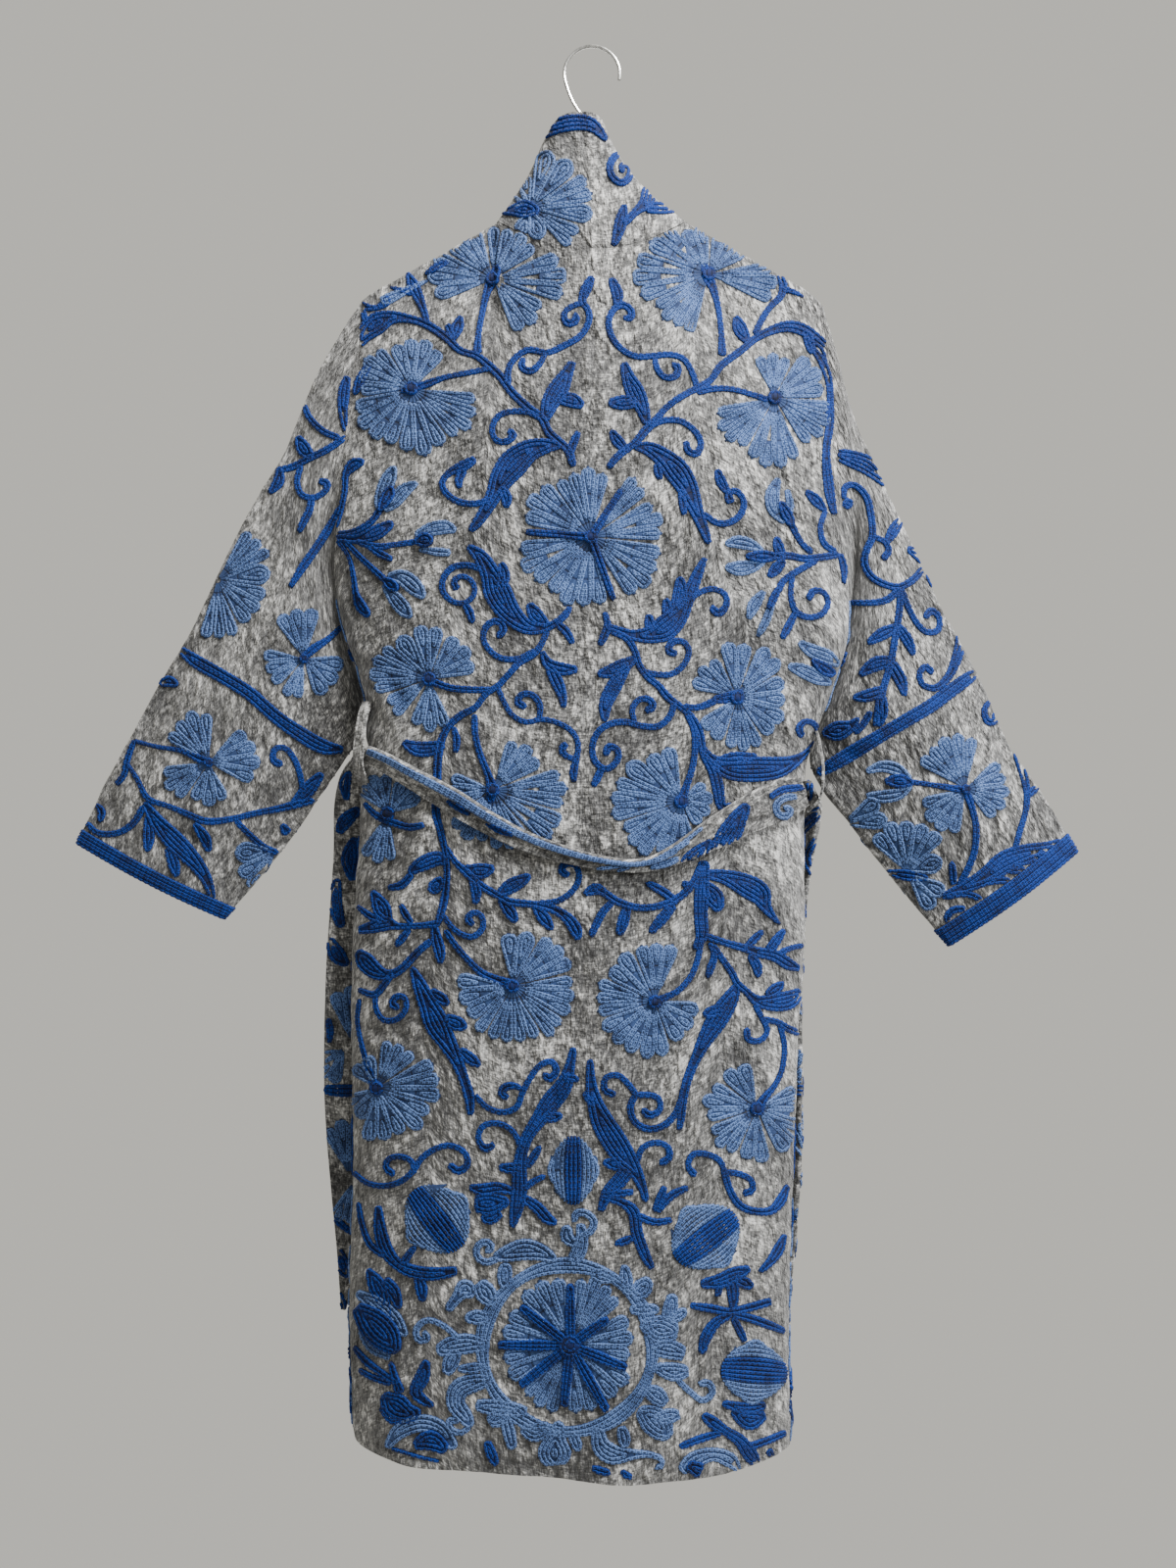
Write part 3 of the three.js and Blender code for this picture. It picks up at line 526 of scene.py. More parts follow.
class Finish:
    """A material in the making, with short ways to add nodes to it."""

    def __init__(self, name, roughness):
        self.material = bpy.data.materials.new(name)
        self.material.use_nodes = True
        self.nodes = self.material.node_tree.nodes
        self.links = self.material.node_tree.links
        self.surface = self.nodes["Principled BSDF"]
        self.set("Roughness", roughness)

    def set(self, name, value):
        self.surface.inputs[name].default_value = value

    def threads(self):
        """The UV map that runs across the threads and along them."""
        lines = self.nodes.new("ShaderNodeUVMap")
        lines.uv_map = THREAD_LINES
        return lines.outputs["UV"]

    def place(self):
        return self.nodes.new("ShaderNodeTexCoord").outputs["Object"]

    def noise(self, source, scale, detail, rough=0.55):
        """Noise drawn out along the threads: scale is in cells a metre, across and along."""
        stretch = self.nodes.new("ShaderNodeMapping")
        stretch.inputs["Scale"].default_value = scale
        self.links.new(source, stretch.inputs["Vector"])
        grain = self.nodes.new("ShaderNodeTexNoise")
        grain.inputs["Scale"].default_value = 1
        grain.inputs["Detail"].default_value = detail
        grain.inputs["Roughness"].default_value = rough
        self.links.new(stretch.outputs["Vector"], grain.inputs["Vector"])
        return grain.outputs["Fac"]

    def maths(self, operation, *values):
        node = self.nodes.new("ShaderNodeMath")
        node.operation = operation
        for socket, value in zip(node.inputs, values):
            if isinstance(value, (int, float)):
                socket.default_value = value
            else:
                self.links.new(value, socket)
        return node.outputs[0]

    def total(self, parts):
        """Weighted sum of several sockets: parts is a list of socket and weight."""
        total = 0
        for socket, weight in parts:
            total = self.maths("MULTIPLY_ADD", socket, weight, total)
        return total

    def colour(self, value, stops):
        ramp = self.nodes.new("ShaderNodeValToRGB")
        bar = ramp.color_ramp
        while len(bar.elements) < len(stops):
            bar.elements.new(0.5)
        for element, (place, colour) in zip(bar.elements, stops):
            element.position = place
            element.color = (*colour, 1)
        self.links.new(value, ramp.inputs["Fac"])
        self.links.new(ramp.outputs["Color"], self.surface.inputs["Base Color"])

    def sheen(self, weight, roughness, specular):
        self.set("Sheen Weight", weight)
        self.set("Sheen Roughness", roughness)
        self.set("Specular IOR Level", specular)

    def relief(self, height, strength, distance):
        bump = self.nodes.new("ShaderNodeBump")
        bump.inputs["Strength"].default_value = strength
        bump.inputs["Distance"].default_value = distance
        self.links.new(height, bump.inputs["Height"])
        self.links.new(bump.outputs["Normal"], self.surface.inputs["Normal"])


THREAD_RELIEF = (0.9, 0.0024)
# The near-black low end of the cloth ramp is met in the crinkle grooves and the dark patches, so it is
# painted shade; the middle and upper stops are the melange's own tones.
HEATHER_STOPS = [
    (0.43, (0.008, 0.008, 0.009)), (0.485, (0.042, 0.042, 0.043)), (0.54, (0.145, 0.144, 0.142)),
    (0.61, (0.53, 0.525, 0.515)),
]
# The thread ramps run from painted shade at their near-black low ends, met in the holes, joints and row
# edges, to a painted highlight at their top ends, met on the raised loop backs.
LIGHT_STOPS = [
    (0.54, (0.002, 0.005, 0.018)), (0.62, (0.009, 0.021, 0.066)), (0.71, (0.021, 0.047, 0.135)),
    (0.84, (0.095, 0.170, 0.38)),
]
ROYAL_STOPS = [
    (0.54, (0.0004, 0.0012, 0.006)), (0.62, (0.0006, 0.0033, 0.023)), (0.71, (0.0012, 0.010, 0.074)),
    (0.85, (0.0025, 0.032, 0.21)),
]
WIRE_STOPS = [(0.35, (0.30, 0.30, 0.295)), (0.65, (0.58, 0.58, 0.57))]


def heather_material():
    finish = Finish("heather_melange_cloth", 0.93)
    source = finish.threads()
    warp = finish.noise(source, (620, 190, 1), 3, 0.65)
    weft = finish.noise(source, (180, 600, 1), 3, 0.65)
    slub = finish.noise(source, (360, 95, 1), 3, 0.65)
    blotch = finish.noise(source, (95, 70, 1), 5, 0.7)
    painted_shade_patches = finish.noise(source, (16, 11, 1), 2, 0.5)
    ridged = finish.noise(source, (75, 52, 1), 2, 0.5)
    crinkle_and_painted_shade = finish.maths("ABSOLUTE", finish.maths("SUBTRACT", ridged, 0.5))
    # The tone is the melange's own threads, slubs and mottle, with painted shade: soft dark patches several
    # centimetres across, and dark lines in the crinkle's grooves, the same grooves that the bump makes.
    tone = finish.total([
        (warp, 0.24), (weft, 0.24), (slub, 0.14), (blotch, 0.20), (painted_shade_patches, 0.18), (crinkle_and_painted_shade, 0.34),
    ])
    finish.colour(tone, HEATHER_STOPS)
    finish.sheen(0.25, 0.6, 0.2)
    crease = finish.noise(source, (130, 55, 1), 3, 0.55)
    rumple = finish.noise(source, (24, 13, 1), 2, 0.5)
    height = finish.total([
        (warp, 0.30), (weft, 0.30), (blotch, 0.9), (crease, 3.6), (crinkle_and_painted_shade, 3.6), (rumple, 9),
    ])
    finish.relief(height, *THREAD_RELIEF)
    return finish.material


def stitch_material(name, stops, sheen):
    """Chain stitch in thick yarn. Its UV map runs across the row, 0 to 1, and along it in stitches. Its
    colour follows the relief: painted shade in each loop's hole, at the joints and along the row's edges, and
    a painted highlight on the raised loop backs.
    """
    finish = Finish(name, 0.82)
    maths = finish.maths
    split = finish.nodes.new("ShaderNodeSeparateXYZ")
    finish.links.new(finish.threads(), split.inputs["Vector"])
    cell = maths("FRACT", split.outputs["Y"])
    along = maths("ABSOLUTE", maths("SUBTRACT", cell, 0.5))
    aside = maths("ABSOLUTE", maths("SUBTRACT", split.outputs["X"], 0.5))
    hole_width = maths("POWER", maths("DIVIDE", aside, 0.17), 2.0)
    hole_length = maths("POWER", maths("DIVIDE", along, 0.34), 2.0)
    opened = maths("MINIMUM", maths("ADD", hole_width, hole_length), 1.0)
    joint = maths("SMOOTH_MIN", maths("DIVIDE", maths("SUBTRACT", 0.5, along), 0.12), 1.0, 0.2)
    edge = maths("MINIMUM", maths("DIVIDE", maths("SUBTRACT", 0.5, aside), 0.2), 1.0)
    place = finish.place()
    fluff = finish.noise(place, (900, 900, 900), 3, 0.65)
    dye = finish.noise(place, (70, 70, 70), 3, 0.6)
    height = finish.total([(opened, 0.34), (joint, 0.18), (edge, 0.26), (fluff, 0.22)])
    # Colour from the relief height with the dye: painted shade in the hollows, painted highlight on the loop
    # backs.
    finish.colour(finish.total([(height, 0.72), (dye, 0.36)]), stops)
    finish.sheen(sheen, 0.5, 0.25)
    finish.relief(height, *THREAD_RELIEF)
    return finish.material


def wire_material():
    finish = Finish("galvanised_wire", 0.27)
    finish.set("Metallic", 0.9)
    spangle = finish.noise(finish.place(), (260, 260, 90), 4, 0.6)
    finish.colour(spangle, WIRE_STOPS)
    finish.relief(spangle, 0.25, 0.0002)
    return finish.material


HEATHER = heather_material()
LIGHT = stitch_material("light_blue_chain_stitch", LIGHT_STOPS, 0.08)
ROYAL = stitch_material("royal_blue_chain_stitch", ROYAL_STOPS, 0.03)
WIRE = wire_material()

# ---------- the panels ----------

# The finished pieces of cloth by name, and the outer faces and outward ways of each.
sheets = {}
faces_out = {}


def take(name, made, *rests, slot="heather_cloth"):
    """Notes a finished piece of cloth, which stands for its solid; the pieces it rests on are not used."""
    piece, outer, out = made
    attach(piece, "root")
    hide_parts(name)
    sheets[name] = piece
    faces_out[name] = (outer, out)


def hem_turn(z, foot):
    """The turned hem is a second layer over the lowest stretch."""
    return CLOTH + HEM_EXTRA * smooth(foot + HEM_DEPTH, foot + HEM_DEPTH - 2, z)


def back_panel():
    seam = math.radians(SECTIONS[0][1])
    neck = math.asin(NECK_HALF / SHOULDER_HALF * math.sin(seam)) / seam
    side = between(neck, 1, np.linspace(0, 1, 42))
    middle = np.linspace(-neck, neck, 55)
    u = np.concatenate([-side[::-1], middle[1:-1], side])
    x = back_section(u, np.full_like(u, float(NECK_TOP)))[0]
    roll = [roll_place(x, -1, turn) for turn in ROLL_TURNS]
    fall = [back_place(u, np.full_like(u, v)) for v in np.linspace(0, 1, 262)]
    grid = np.array(roll + fall)
    out = -grid_normals(grid, False)
    free = smooth(-178, -230, grid[..., 2]) * smooth(1, 0.93, np.abs(u))[None, :]
    lift = fold_lift(grid[..., 0], grid[..., 2], BACK_FOLDS) + puckers(grid, SEEDS["back"])
    edge = smooth(HEM + 16, HEM, grid[..., 2])
    lift = lift * free + edge * HEM_WAVE * np.sin(grid[..., 0] / HEM_WAVELENGTH)
    grid = grid + out * lift[..., None]
    return cloth_sheet("back_panel", grid, hem_turn(grid[..., 2], HEM), HEATHER, facing=-1)


def front_panel(side):
    w = np.linspace(0, 1, 46)
    x = front_place(side, w, np.zeros_like(w))[..., 0]
    roll = [roll_place(x, 1, turn) for turn in ROLL_TURNS]
    fall = [front_place(side, w, np.full_like(w, v)) for v in np.linspace(0, 1, 200)]
    grid = np.array(roll + fall)
    facing = -SIGN[side]
    free = smooth(-190, -250, grid[..., 2]) * (smooth(0, 0.1, w) * smooth(1, 0.92, w))[None, :]
    lift = fold_lift(grid[..., 0], grid[..., 2], FRONT_FOLDS[side]) + puckers(grid, SEEDS["front"])
    grid = grid + facing * grid_normals(grid, False) * (lift * free)[..., None]
    name = f"front_panel_{side}"
    return cloth_sheet(name, grid, hem_turn(grid[..., 2], HEM), HEATHER, facing=facing)


def sleeve_ring(outer, inner, half, bow, sign, steps=44):
    """One ring of a sleeve: rounded folds at both ends and a swell between them."""
    outer, inner = np.array(outer, float), np.array(inner, float)
    line = inner - outer
    length = float(np.linalg.norm(line))
    tip = ROLL_RADIUS
    t = np.linspace(0, 1, steps)
    turn = np.radians([22.5, 45, 67.5])
    start = [(tip - tip * math.cos(a), tip * math.sin(a)) for a in turn]
    sides = [(between(tip, length - tip, s), tip + (half - tip) * math.sin(math.pi * s)) for s in t]
    end = [(length - tip + tip * math.sin(a), tip * math.cos(a)) for a in turn]
    back = start + sides + end
    outline = [(0, 0)] + [(d, -o) for d, o in back] + [(length, 0)] + [(d, o) for d, o in back[::-1]]
    d, o = np.array(outline).T
    ring = outer + np.outer(d, line / length)
    ring[:, 0] += sign * bow * np.sin(np.pi * d / length)
    ring[:, 1] += o
    return ring


def sleeve_rings(side):
    sign = SIGN[side]
    shoulder = float(top_height(np.array(sign * SHOULDER_HALF)))
    plain = sleeve_ring((0, 0, shoulder), (0, 0, UNDERARM), ARMHOLE_OPEN / 2, 0, sign)
    back, front = edge_pair(side, plain[:, 2])
    down = (plain[:, 2] - shoulder) / (UNDERARM - shoulder)
    gap = np.where(plain[:, 1] >= 0, ARMHOLE_GAP["front"], ARMHOLE_GAP["back"])
    first = np.stack([
        back[:, 0] + sign * (gap + ARMHOLE_GAP["low"] * smooth(0.5, 0.85, down)),
        (back[:, 1] + front[:, 1]) / 2 + plain[:, 1],
        plain[:, 2],
    ], -1)
    rings = [sleeve_ring(*row, sign) for row in SLEEVE_RINGS[side]]
    return np.array([first] + rings)


def sleeve_grid(side):
    rings = sleeve_rings(side)
    count = len(rings)
    grid = flow(np.arange(count), rings, np.linspace(0, count - 1, 118))
    facing = SIGN[side]
    out = facing * grid_normals(grid, True)
    share = np.linspace(0, 1, len(grid))[:, None]
    free = smooth(0.01, 0.1, share) * (1 - 0.5 * smooth(0.9, 1, share))
    folds = fold_lift(grid[..., 0], grid[..., 2], SLEEVE_FOLDS[side])
    lift = (folds * np.where(out[..., 1] < 0, 1, 0.6) + puckers(grid, SEEDS["sleeve"], 0.7)) * free
    return grid + out * lift[..., None]


def sleeve(side):
    grid = sleeve_grid(side)
    return cloth_sheet(f"kimono_sleeve_{side}", grid, CLOTH, HEATHER, closed=True, facing=SIGN[side])


def cuff_border(side):
    """The worked edge, on rings that carry the sleeve's end on."""
    length = math.hypot(*CUFF_LENGTHS[side])
    distances = np.linspace(0.6, length, 21)
    rings = sleeve_rings(side)
    onward = unit(rings[-1] - rings[-2])
    last = sleeve_grid(side)[-1]
    grid = np.array([last + onward * distance for distance in distances])
    start, end = EDGE_CLOTH
    thick = (start - (start - end) * smooth(length - 3, length, distances))[:, None] * np.ones(grid.shape[:2])
    return cloth_sheet(f"cuff_edge_{side}", grid, thick, ROYAL, closed=True, facing=SIGN[side])


def collar_line(share):
    x = NECK_HALF * share
    foot_z = top_height(x) - COLLAR_SINK + COLLAR_LIFT * share**2
    foot = np.stack([x, neck_bulge(x), foot_z], -1)
    top = np.stack([read(COLLAR_TOP, k, share) for k in (1, 2, 3)], -1)
    return foot, top


def stand_collar():
    share = np.linspace(-1, 1, 81)
    foot, top = collar_line(share)
    t = np.linspace(0, 1, 28)[:, None, None]
    grid = foot[None] + (top - foot)[None] * t
    out = grid_normals(grid, False)
    held = (t * (1 - t) * 4)[..., 0] * (1 - share**4)[None, :]
    lift = held * (2.2 * np.exp(-(((grid[..., 0] + 24) / 16) ** 2)) + puckers(grid, SEEDS["collar"], 0.7))
    grid = grid + out * lift[..., None]
    return cloth_sheet("stand_collar", grid, CLOTH, HEATHER, facing=1)


def front_band(side):
    sign = SIGN[side]
    v = between(BAND_START, 1, np.linspace(0, 1, BAND_ROWS) ** 1.4)
    foot, top = collar_line(np.array([float(sign)]))
    past = np.array([sign * SEAM_GAP, 5 * SEAM_GAP, 0])
    t = np.linspace(0, 1, 20)[:, None]
    shoulder = foot + (top - foot) * t + past
    sewn = front_place(side, np.ones_like(v), v)
    sewn[:, 0] -= sign * SEAM_GAP * (1.5 + 2.5 * (1 - smooth(0, 0.05, v)))
    free = np.stack([read(BAND_FREE_EDGE[side], k, sewn[:, 2]) for k in (1, 2, 3)], -1)
    rows = sewn[:, None] + (free - sewn)[:, None] * t[None]
    grid = np.concatenate([shoulder[None], rows])
    return cloth_sheet(f"front_band_{side}_cloth", grid, CLOTH, HEATHER, facing=-sign)


# ---------- belt and loops ----------


def on_back(x, z):
    """The back's middle surface at x and z, with its swells but not its folds, and the way out of it."""
    left, right = read(SIDES, 1, z), read(SIDES, 2, z)
    sine = np.clip((x - (left + right) / 2) / ((right - left) / 2), -1, 1)
    u = np.arcsin(sine) / np.radians(read(SECTIONS, 1, z))
    place = np.stack([*back_section(u, z), z], -1)
    x0, y0 = back_section(u - 0.02, z)
    x1, y1 = back_section(u + 0.02, z)
    return place, unit(np.stack([y1 - y0, x0 - x1, 0 * x0], -1))


def sash_section(width, thick):
    """Across the folded sash: up behind, over the top fold, down in front, then the lower fold."""
    half = width / 2
    turn = min(0.36 * thick, 0.7 * half)
    flatness = float(smooth(20, 36, width))
    step = between(0.05, -0.4, flatness) * half
    low = between(0.1, 0.45, flatness) * turn
    behind = [(a, -turn) for a in np.linspace(-half, half - turn, 7)]
    bend = np.linspace(0.4, math.pi - 0.4, 6)
    arc = [(half - turn + turn * math.sin(t), -turn * math.cos(t)) for t in bend]
    front = [(a, turn) for a in np.linspace(half - turn, step + 0.6, 7)]
    below = np.linspace(step - 0.5, -half, 7)
    lower = [(a, low + 0.12 * turn * math.sin(3 * s)) for s, a in enumerate(below)]
    return np.array(behind + arc + front + lower)


def sash(name, middle, across, out, width, thick, follow=False):
    grid = []
    for place, side, away, wide, deep in zip(middle, across, out, width, thick):
        a, o = sash_section(wide, deep).T
        grid.append(place + side * a[:, None] + away * o[:, None])
    grid = np.array(grid)
    if follow:
        lift = np.maximum(-1, fold_lift(grid[..., 0], grid[..., 2], BACK_FOLDS))
        grid = grid + out[:, None] * (lift + 0.5)[..., None]
    sway = 0.5 * soft_noise(grid[..., 0] + 0.7 * grid[..., 1], grid[..., 2], 22, SEEDS["sash"])
    grid = grid + out[:, None] * sway[..., None]
    cloth = between(1.1, 1.7, smooth(8, 18, width))[:, None]
    return cloth_sheet(name, grid, np.broadcast_to(cloth, grid.shape[:2]), HEATHER, facing=1)


def belt_swag():
    at = np.linspace(0, len(BELT_SWAG) - 1, 127)
    x, z, width, thick = (read(BELT_SWAG, k, at) for k in (1, 2, 3, 4))
    tangent = unit(np.gradient(np.stack([x, 0 * x, z], -1), axis=0))
    place, out = on_back(x, z)
    place = place + out * (CLOTH / 2 + BELT_LIFT + thick / 2)[:, None]
    return sash("belt_swag_cloth", place, unit(np.cross(out, tangent)), out, width, thick, follow=True)


def belt_tail(side):
    rows = BELT_TAILS[side]
    at = np.linspace(0, len(rows) - 1, 118)
    place = np.stack([read(rows, k, at) for k in (1, 2, 3)], -1)
    width, thick = read(rows, 4, at), read(rows, 5, at)
    turn = np.radians(read(rows, 6, at))
    across = np.stack([np.cos(turn), np.sin(turn), 0 * turn], -1)
    out = np.stack([np.sin(turn), -np.cos(turn), 0 * turn], -1)
    return sash(f"belt_end_{side}", place, across, out, width, thick)


def belt_loop(side):
    rows = LOOPS[side]
    path = np.stack([read(rows, k, np.linspace(0, len(rows) - 1, 34)) for k in (1, 2, 3)], -1)
    turn = math.radians(LOOP_TURN[side])
    across = np.array([math.cos(turn), -math.sin(turn), 0])
    grid = path[:, None] + across * np.linspace(-LOOP_HALF, LOOP_HALF, 7)[None, :, None]
    return cloth_sheet(f"belt_keeper_{side}", grid, LOOP_CLOTH, HEATHER, facing=1)


# ---------- chain stitch ----------

ROW = 4.5  # width of a row of chain stitch
STITCH = 5.6  # length of one stitch
RISE = 1.7  # how far a row stands off the cloth
NEST_RISE = 0.04  # how much each row stands over the one outside it
PINCH = 0.74  # share of a row's width left where one stitch meets the next
ROW_END = 0.6  # and at the row's two ends
PAD_EDGE = -0.25  # heights over the cloth of a pad's edges, shoulders, middle and underside
PAD_SHOULDER = 0.55
PAD_TOP = 0.7
PAD_UNDER = -0.6
DISC_PAD = 0.7
DARK_RISE = 1.2  # how far dark marks on a pale flower stand over it
SHORTEST_ROW = 3.5
LONGEST_JUMP = 9  # from point to point of a row, before it is broken in two
LONGEST_PAD_JUMP = 16

# The rest is in pixels of the layout.
PITCH = 4.3  # from row to row in a filled shape
FINGER = 17  # how wide a flower's finger is at its tip
SHORTEST_LINE = 4
TOUCH_STEP = 2.6
SPINE_STEP = 2.4
THINNEST = 2.2
BROAD = 9  # a shape wider than this is widened by BROAD_GAIN of what it has over it
BROAD_GAIN = 0.35

# Where each view is taken from, the way it looks and the way to its right.
VIEWS = {
    "rear": (EYE, (0, 1, 0), (1, 0, 0)),
    "front": ((EYE[0], -EYE[1], EYE[2]), (0, -1, 0), (1, 0, 0)),
    "left": ((-1.2, 0, -0.8), (1, 0, 0), (0, -1, 0)),
    "right": ((1.2, 0, -0.8), (-1, 0, 0), (0, 1, 0)),
}
SIDEWAYS = 0.28  # cloth that faces back or front less than this belongs to the views from the sides

# Four points round a row's section: place across, height, and place across the UV map.
ACROSS = np.array([-0.5, -0.24, 0.24, 0.5])
STANDS = np.array([-0.25, 1.0, 1.0, -0.25])
# The row's edges lie at 0 and 1 across the map, where the stitch colour is darkest: painted shade where one
# row meets the next.
OVER = np.array([0.0, 0.3, 0.7, 1.0])


def lengths(line):
    """How far each point of a line lies along it."""
    return np.concatenate([[0], np.cumsum(np.linalg.norm(np.diff(line, axis=0), axis=1))])


def beside(spine):
    """The way across a line on the layout, at each of its points."""
    tangent = unit(np.gradient(spine, axis=0))
    return np.stack([-tangent[:, 1], tangent[:, 0]], -1)


def oval(t, blunt=0.97):
    return np.sqrt(1 - blunt * t**2)


def tube(count, around):
    """Numbers of the points on a tube's rings, and the faces between the rings."""
    index = np.arange(count * around).reshape(count, around)
    after = np.roll(index, -1, 1)
    return index, np.stack([index[:-1], index[1:], after[1:], after[:-1]], -1).reshape(-1, 4)


class Needle:
    """Lays rows of chain stitch on a panel. Places are in the layout, which is laid over the panel as it
    is seen in one of the VIEWS."""

    def __init__(self, name, panel, view="rear", fine=True, slant=SIDEWAYS):
        mesh = sheets[panel].data
        points = [vertex.co.copy() for vertex in mesh.vertices]
        faces = [list(face.vertices) for face in mesh.polygons]
        self.tree = BVHTree.FromPolygons(points, faces)
        self.name = name
        self.panel = panel
        self.view = view
        self.slant = slant
        self.eye, self.ahead, self.right = (Vector(v) for v in VIEWS[view])
        self.gap = STITCH / 2 if fine else STITCH
        self.rows = {"light": [], "royal": []}

    def touch(self, x, y):
        way = self.ahead + self.right * ((x - MIDDLE[0]) / FOCAL) + Vector((0, 0, -(y - MIDDLE[1]) / FOCAL))
        place, normal, _, _ = self.tree.ray_cast(self.eye, way.normalized())
        if place is None or normal.dot(way) > 0:
            return None
        if (abs(normal.y) < self.slant) != (self.view in ("left", "right")):
            return None
        return (*(place / MM), *normal)

    def lay(self, line, colour, lift=0.0):
        """One row of stitches along a line."""
        line = np.asarray(line, float)
        reach = lengths(line)
        if reach[-1] < SHORTEST_LINE:
            return
        at = np.linspace(0, reach[-1], max(3, int(reach[-1] / TOUCH_STEP)))
        xs, ys = (np.interp(at, reach, line[:, k]) for k in (0, 1))
        marks = [self.touch(x, y) for x, y in zip(xs, ys)]
        run = []
        for mark in marks + [None]:
            if mark is not None and (not run or math.dist(mark[:3], run[-1][:3]) < LONGEST_JUMP):
                run.append(mark)
                continue
            if len(run) > 2:
                self.sew(np.array(run), colour, lift)
            run = [mark] if mark is not None else []

    def sew(self, run, colour, lift):
        place, normal = run[:, :3], run[:, 3:]
        reach = lengths(place)
        if reach[-1] < SHORTEST_ROW:
            return
        count = max(2, int(round(reach[-1] / self.gap))) + 1
        at = np.linspace(0, reach[-1], count)
        place = np.stack([np.interp(at, reach, place[:, k]) for k in range(3)], -1)
        normal = unit(np.stack([np.interp(at, reach, normal[:, k]) for k in range(3)], -1))
        padded = np.concatenate([normal[:1], normal, normal[-1:]])
        normal = unit(padded[:-2] + padded[1:-1] + padded[2:])
        self.rows[colour].append(stitch_row(place, normal, at / STITCH, lift, self.gap < STITCH))

    def follow(self, rows, columns, colour, lift=0.0):
        """One row of stitches on the panel's own grid, by the numbers of its rows and columns."""
        outer, out = faces_out[self.panel]
        self.sew(np.concatenate([outer[rows, columns], out[rows, columns]], 1), colour, lift)

    def shape(self, points, colour, lift=0.0):
        """A stem, leaf or lobe through points of x, y and width, filled with rows nested in its outline."""
        line = np.array(points, float)
        reach = lengths(line[:, :2])
        line = flow(reach, line, np.linspace(0, reach[-1], max(5, int(reach[-1] / SPINE_STEP))))
        width = line[:, 2] + BROAD_GAIN * np.maximum(0, line[:, 2] - BROAD)
        self.fill(line[:, :2], np.maximum(THINNEST, width) / 2, colour, lift)

    def fill(self, spine, half, colour, lift=0.0):
        self.ground(spine, half, colour, lift)
        across = beside(spine)
        rows = max(1, int(round(2 * half.max() / PITCH)))
        pitch = 2 * half.max() / rows
        for k in range((rows + 1) // 2):
            room = half - (k + 0.5) * pitch
            if room.max() < 0.3 * pitch:
                inside = np.flatnonzero(room > -0.3 * pitch)
                self.lay(spine[inside[0]:inside[-1] + 1], colour, lift + NEST_RISE * k)
                return
            inside = np.flatnonzero(room > 0)
            span = slice(inside[0], inside[-1] + 1)
            shift = across[span] * np.maximum(room[span], 0.3)[:, None]
            loop = np.concatenate([spine[span] + shift, (spine[span] - shift)[::-1]])
            self.lay(np.concatenate([loop, loop[:1]]), colour, lift + NEST_RISE * k)

    def ground(self, spine, half, colour, lift):
        """A low pad of the same thread under a shape, so that no cloth shows between its rows. The pad takes
        the stitch's dark edge tone: painted shade in the gaps between the rows.
        """
        keep = np.unique(np.linspace(0, len(spine) - 1, max(4, len(spine) // 3)).astype(int))
        across = beside(spine) * np.maximum(0.6, half - 0.5)[:, None]
        runs, run = [], []
        for k in keep:
            marks = [self.touch(*(spine[k] + across[k] * side)) for side in (1, 0, -1)]
            if None in marks or (run and math.dist(marks[1][:3], run[-1][1][:3]) > LONGEST_PAD_JUMP):
                runs.append(run)
                run = []
            if None not in marks:
                run.append(marks)
        for run in runs + [run]:
            if len(run) > 1:
                self.rows[colour].append(pad(np.array(run), lift))

    def petal(self, x, y, turn, start, end, width, colour="light", lift=0.0):
        """One rounded finger of a flower, wedge shaped towards the flower's heart."""
        s = np.linspace(start, end, 18)
        tip = np.clip((s - (end - width / 2)) / (width / 2), 0, 1)
        half = width / 2 * np.clip(s / (end - width / 2), 0, 1) ** 0.85 * oval(tip, 0.94)
        spine = np.stack([x + s * math.cos(turn), y - s * math.sin(turn)], -1)
        self.fill(spine, np.maximum(half, 1.2), colour, lift)

    def flower(self, x, y, fans, heart=8):
        """Fans of fingers round a heart. A fan is its first and last angle and its length."""
        for first, last, length in fans:
            first, last = first - 1, last + 1
            fingers = max(1, round(math.radians(last - first) * length / FINGER))
            spread = (last - first) / fingers
            for i in range(fingers):
                turn = math.radians(first + spread * (i + 0.5))
                rounded = 1 - 0.08 * (2 * (i + 0.5) / fingers - 1) ** 2
                end = length * rounded * (1 + 0.03 * math.sin(2.1 * i + x))
                width = 2 * end * math.tan(math.radians(spread) / 2) * 0.95
                self.petal(x, y, turn, 3, end, width)
        if heart:
            self.disc(x, y, heart, "royal", 1.5)

    def fruit(self, x, y, radius, turn, dark, long=1.0):
        """A round fruit in curved rows, with a dark band along its middle."""
        ahead = np.array([math.cos(math.radians(turn)), -math.sin(math.radians(turn))])
        aside = np.array([-ahead[1], ahead[0]])
        t = np.linspace(-1, 1, 15)
        spine = np.array([x, y]) + np.outer(t * radius * long, ahead)
        self.ground(spine, radius * oval(t), "light", 0)
        rows = int(2 * radius / PITCH)
        for k in range(rows):
            off = (k + 0.5) * 2 * radius / rows - radius
            reach = long * math.sqrt(radius**2 - off**2)
            inside = abs(off + 0.12 * radius * math.sin(x)) < dark / 2
            bowed = off * (1 - 0.25 * t**2)
            line = np.array([x, y]) + np.outer(t * reach, ahead) + np.outer(bowed, aside)
            self.lay(line, "royal" if inside else "light", 0.5 if inside else 0)
        self.ground(spine, np.full(len(t), dark / 2) * oval(t, 0.9), "royal", 0.3)

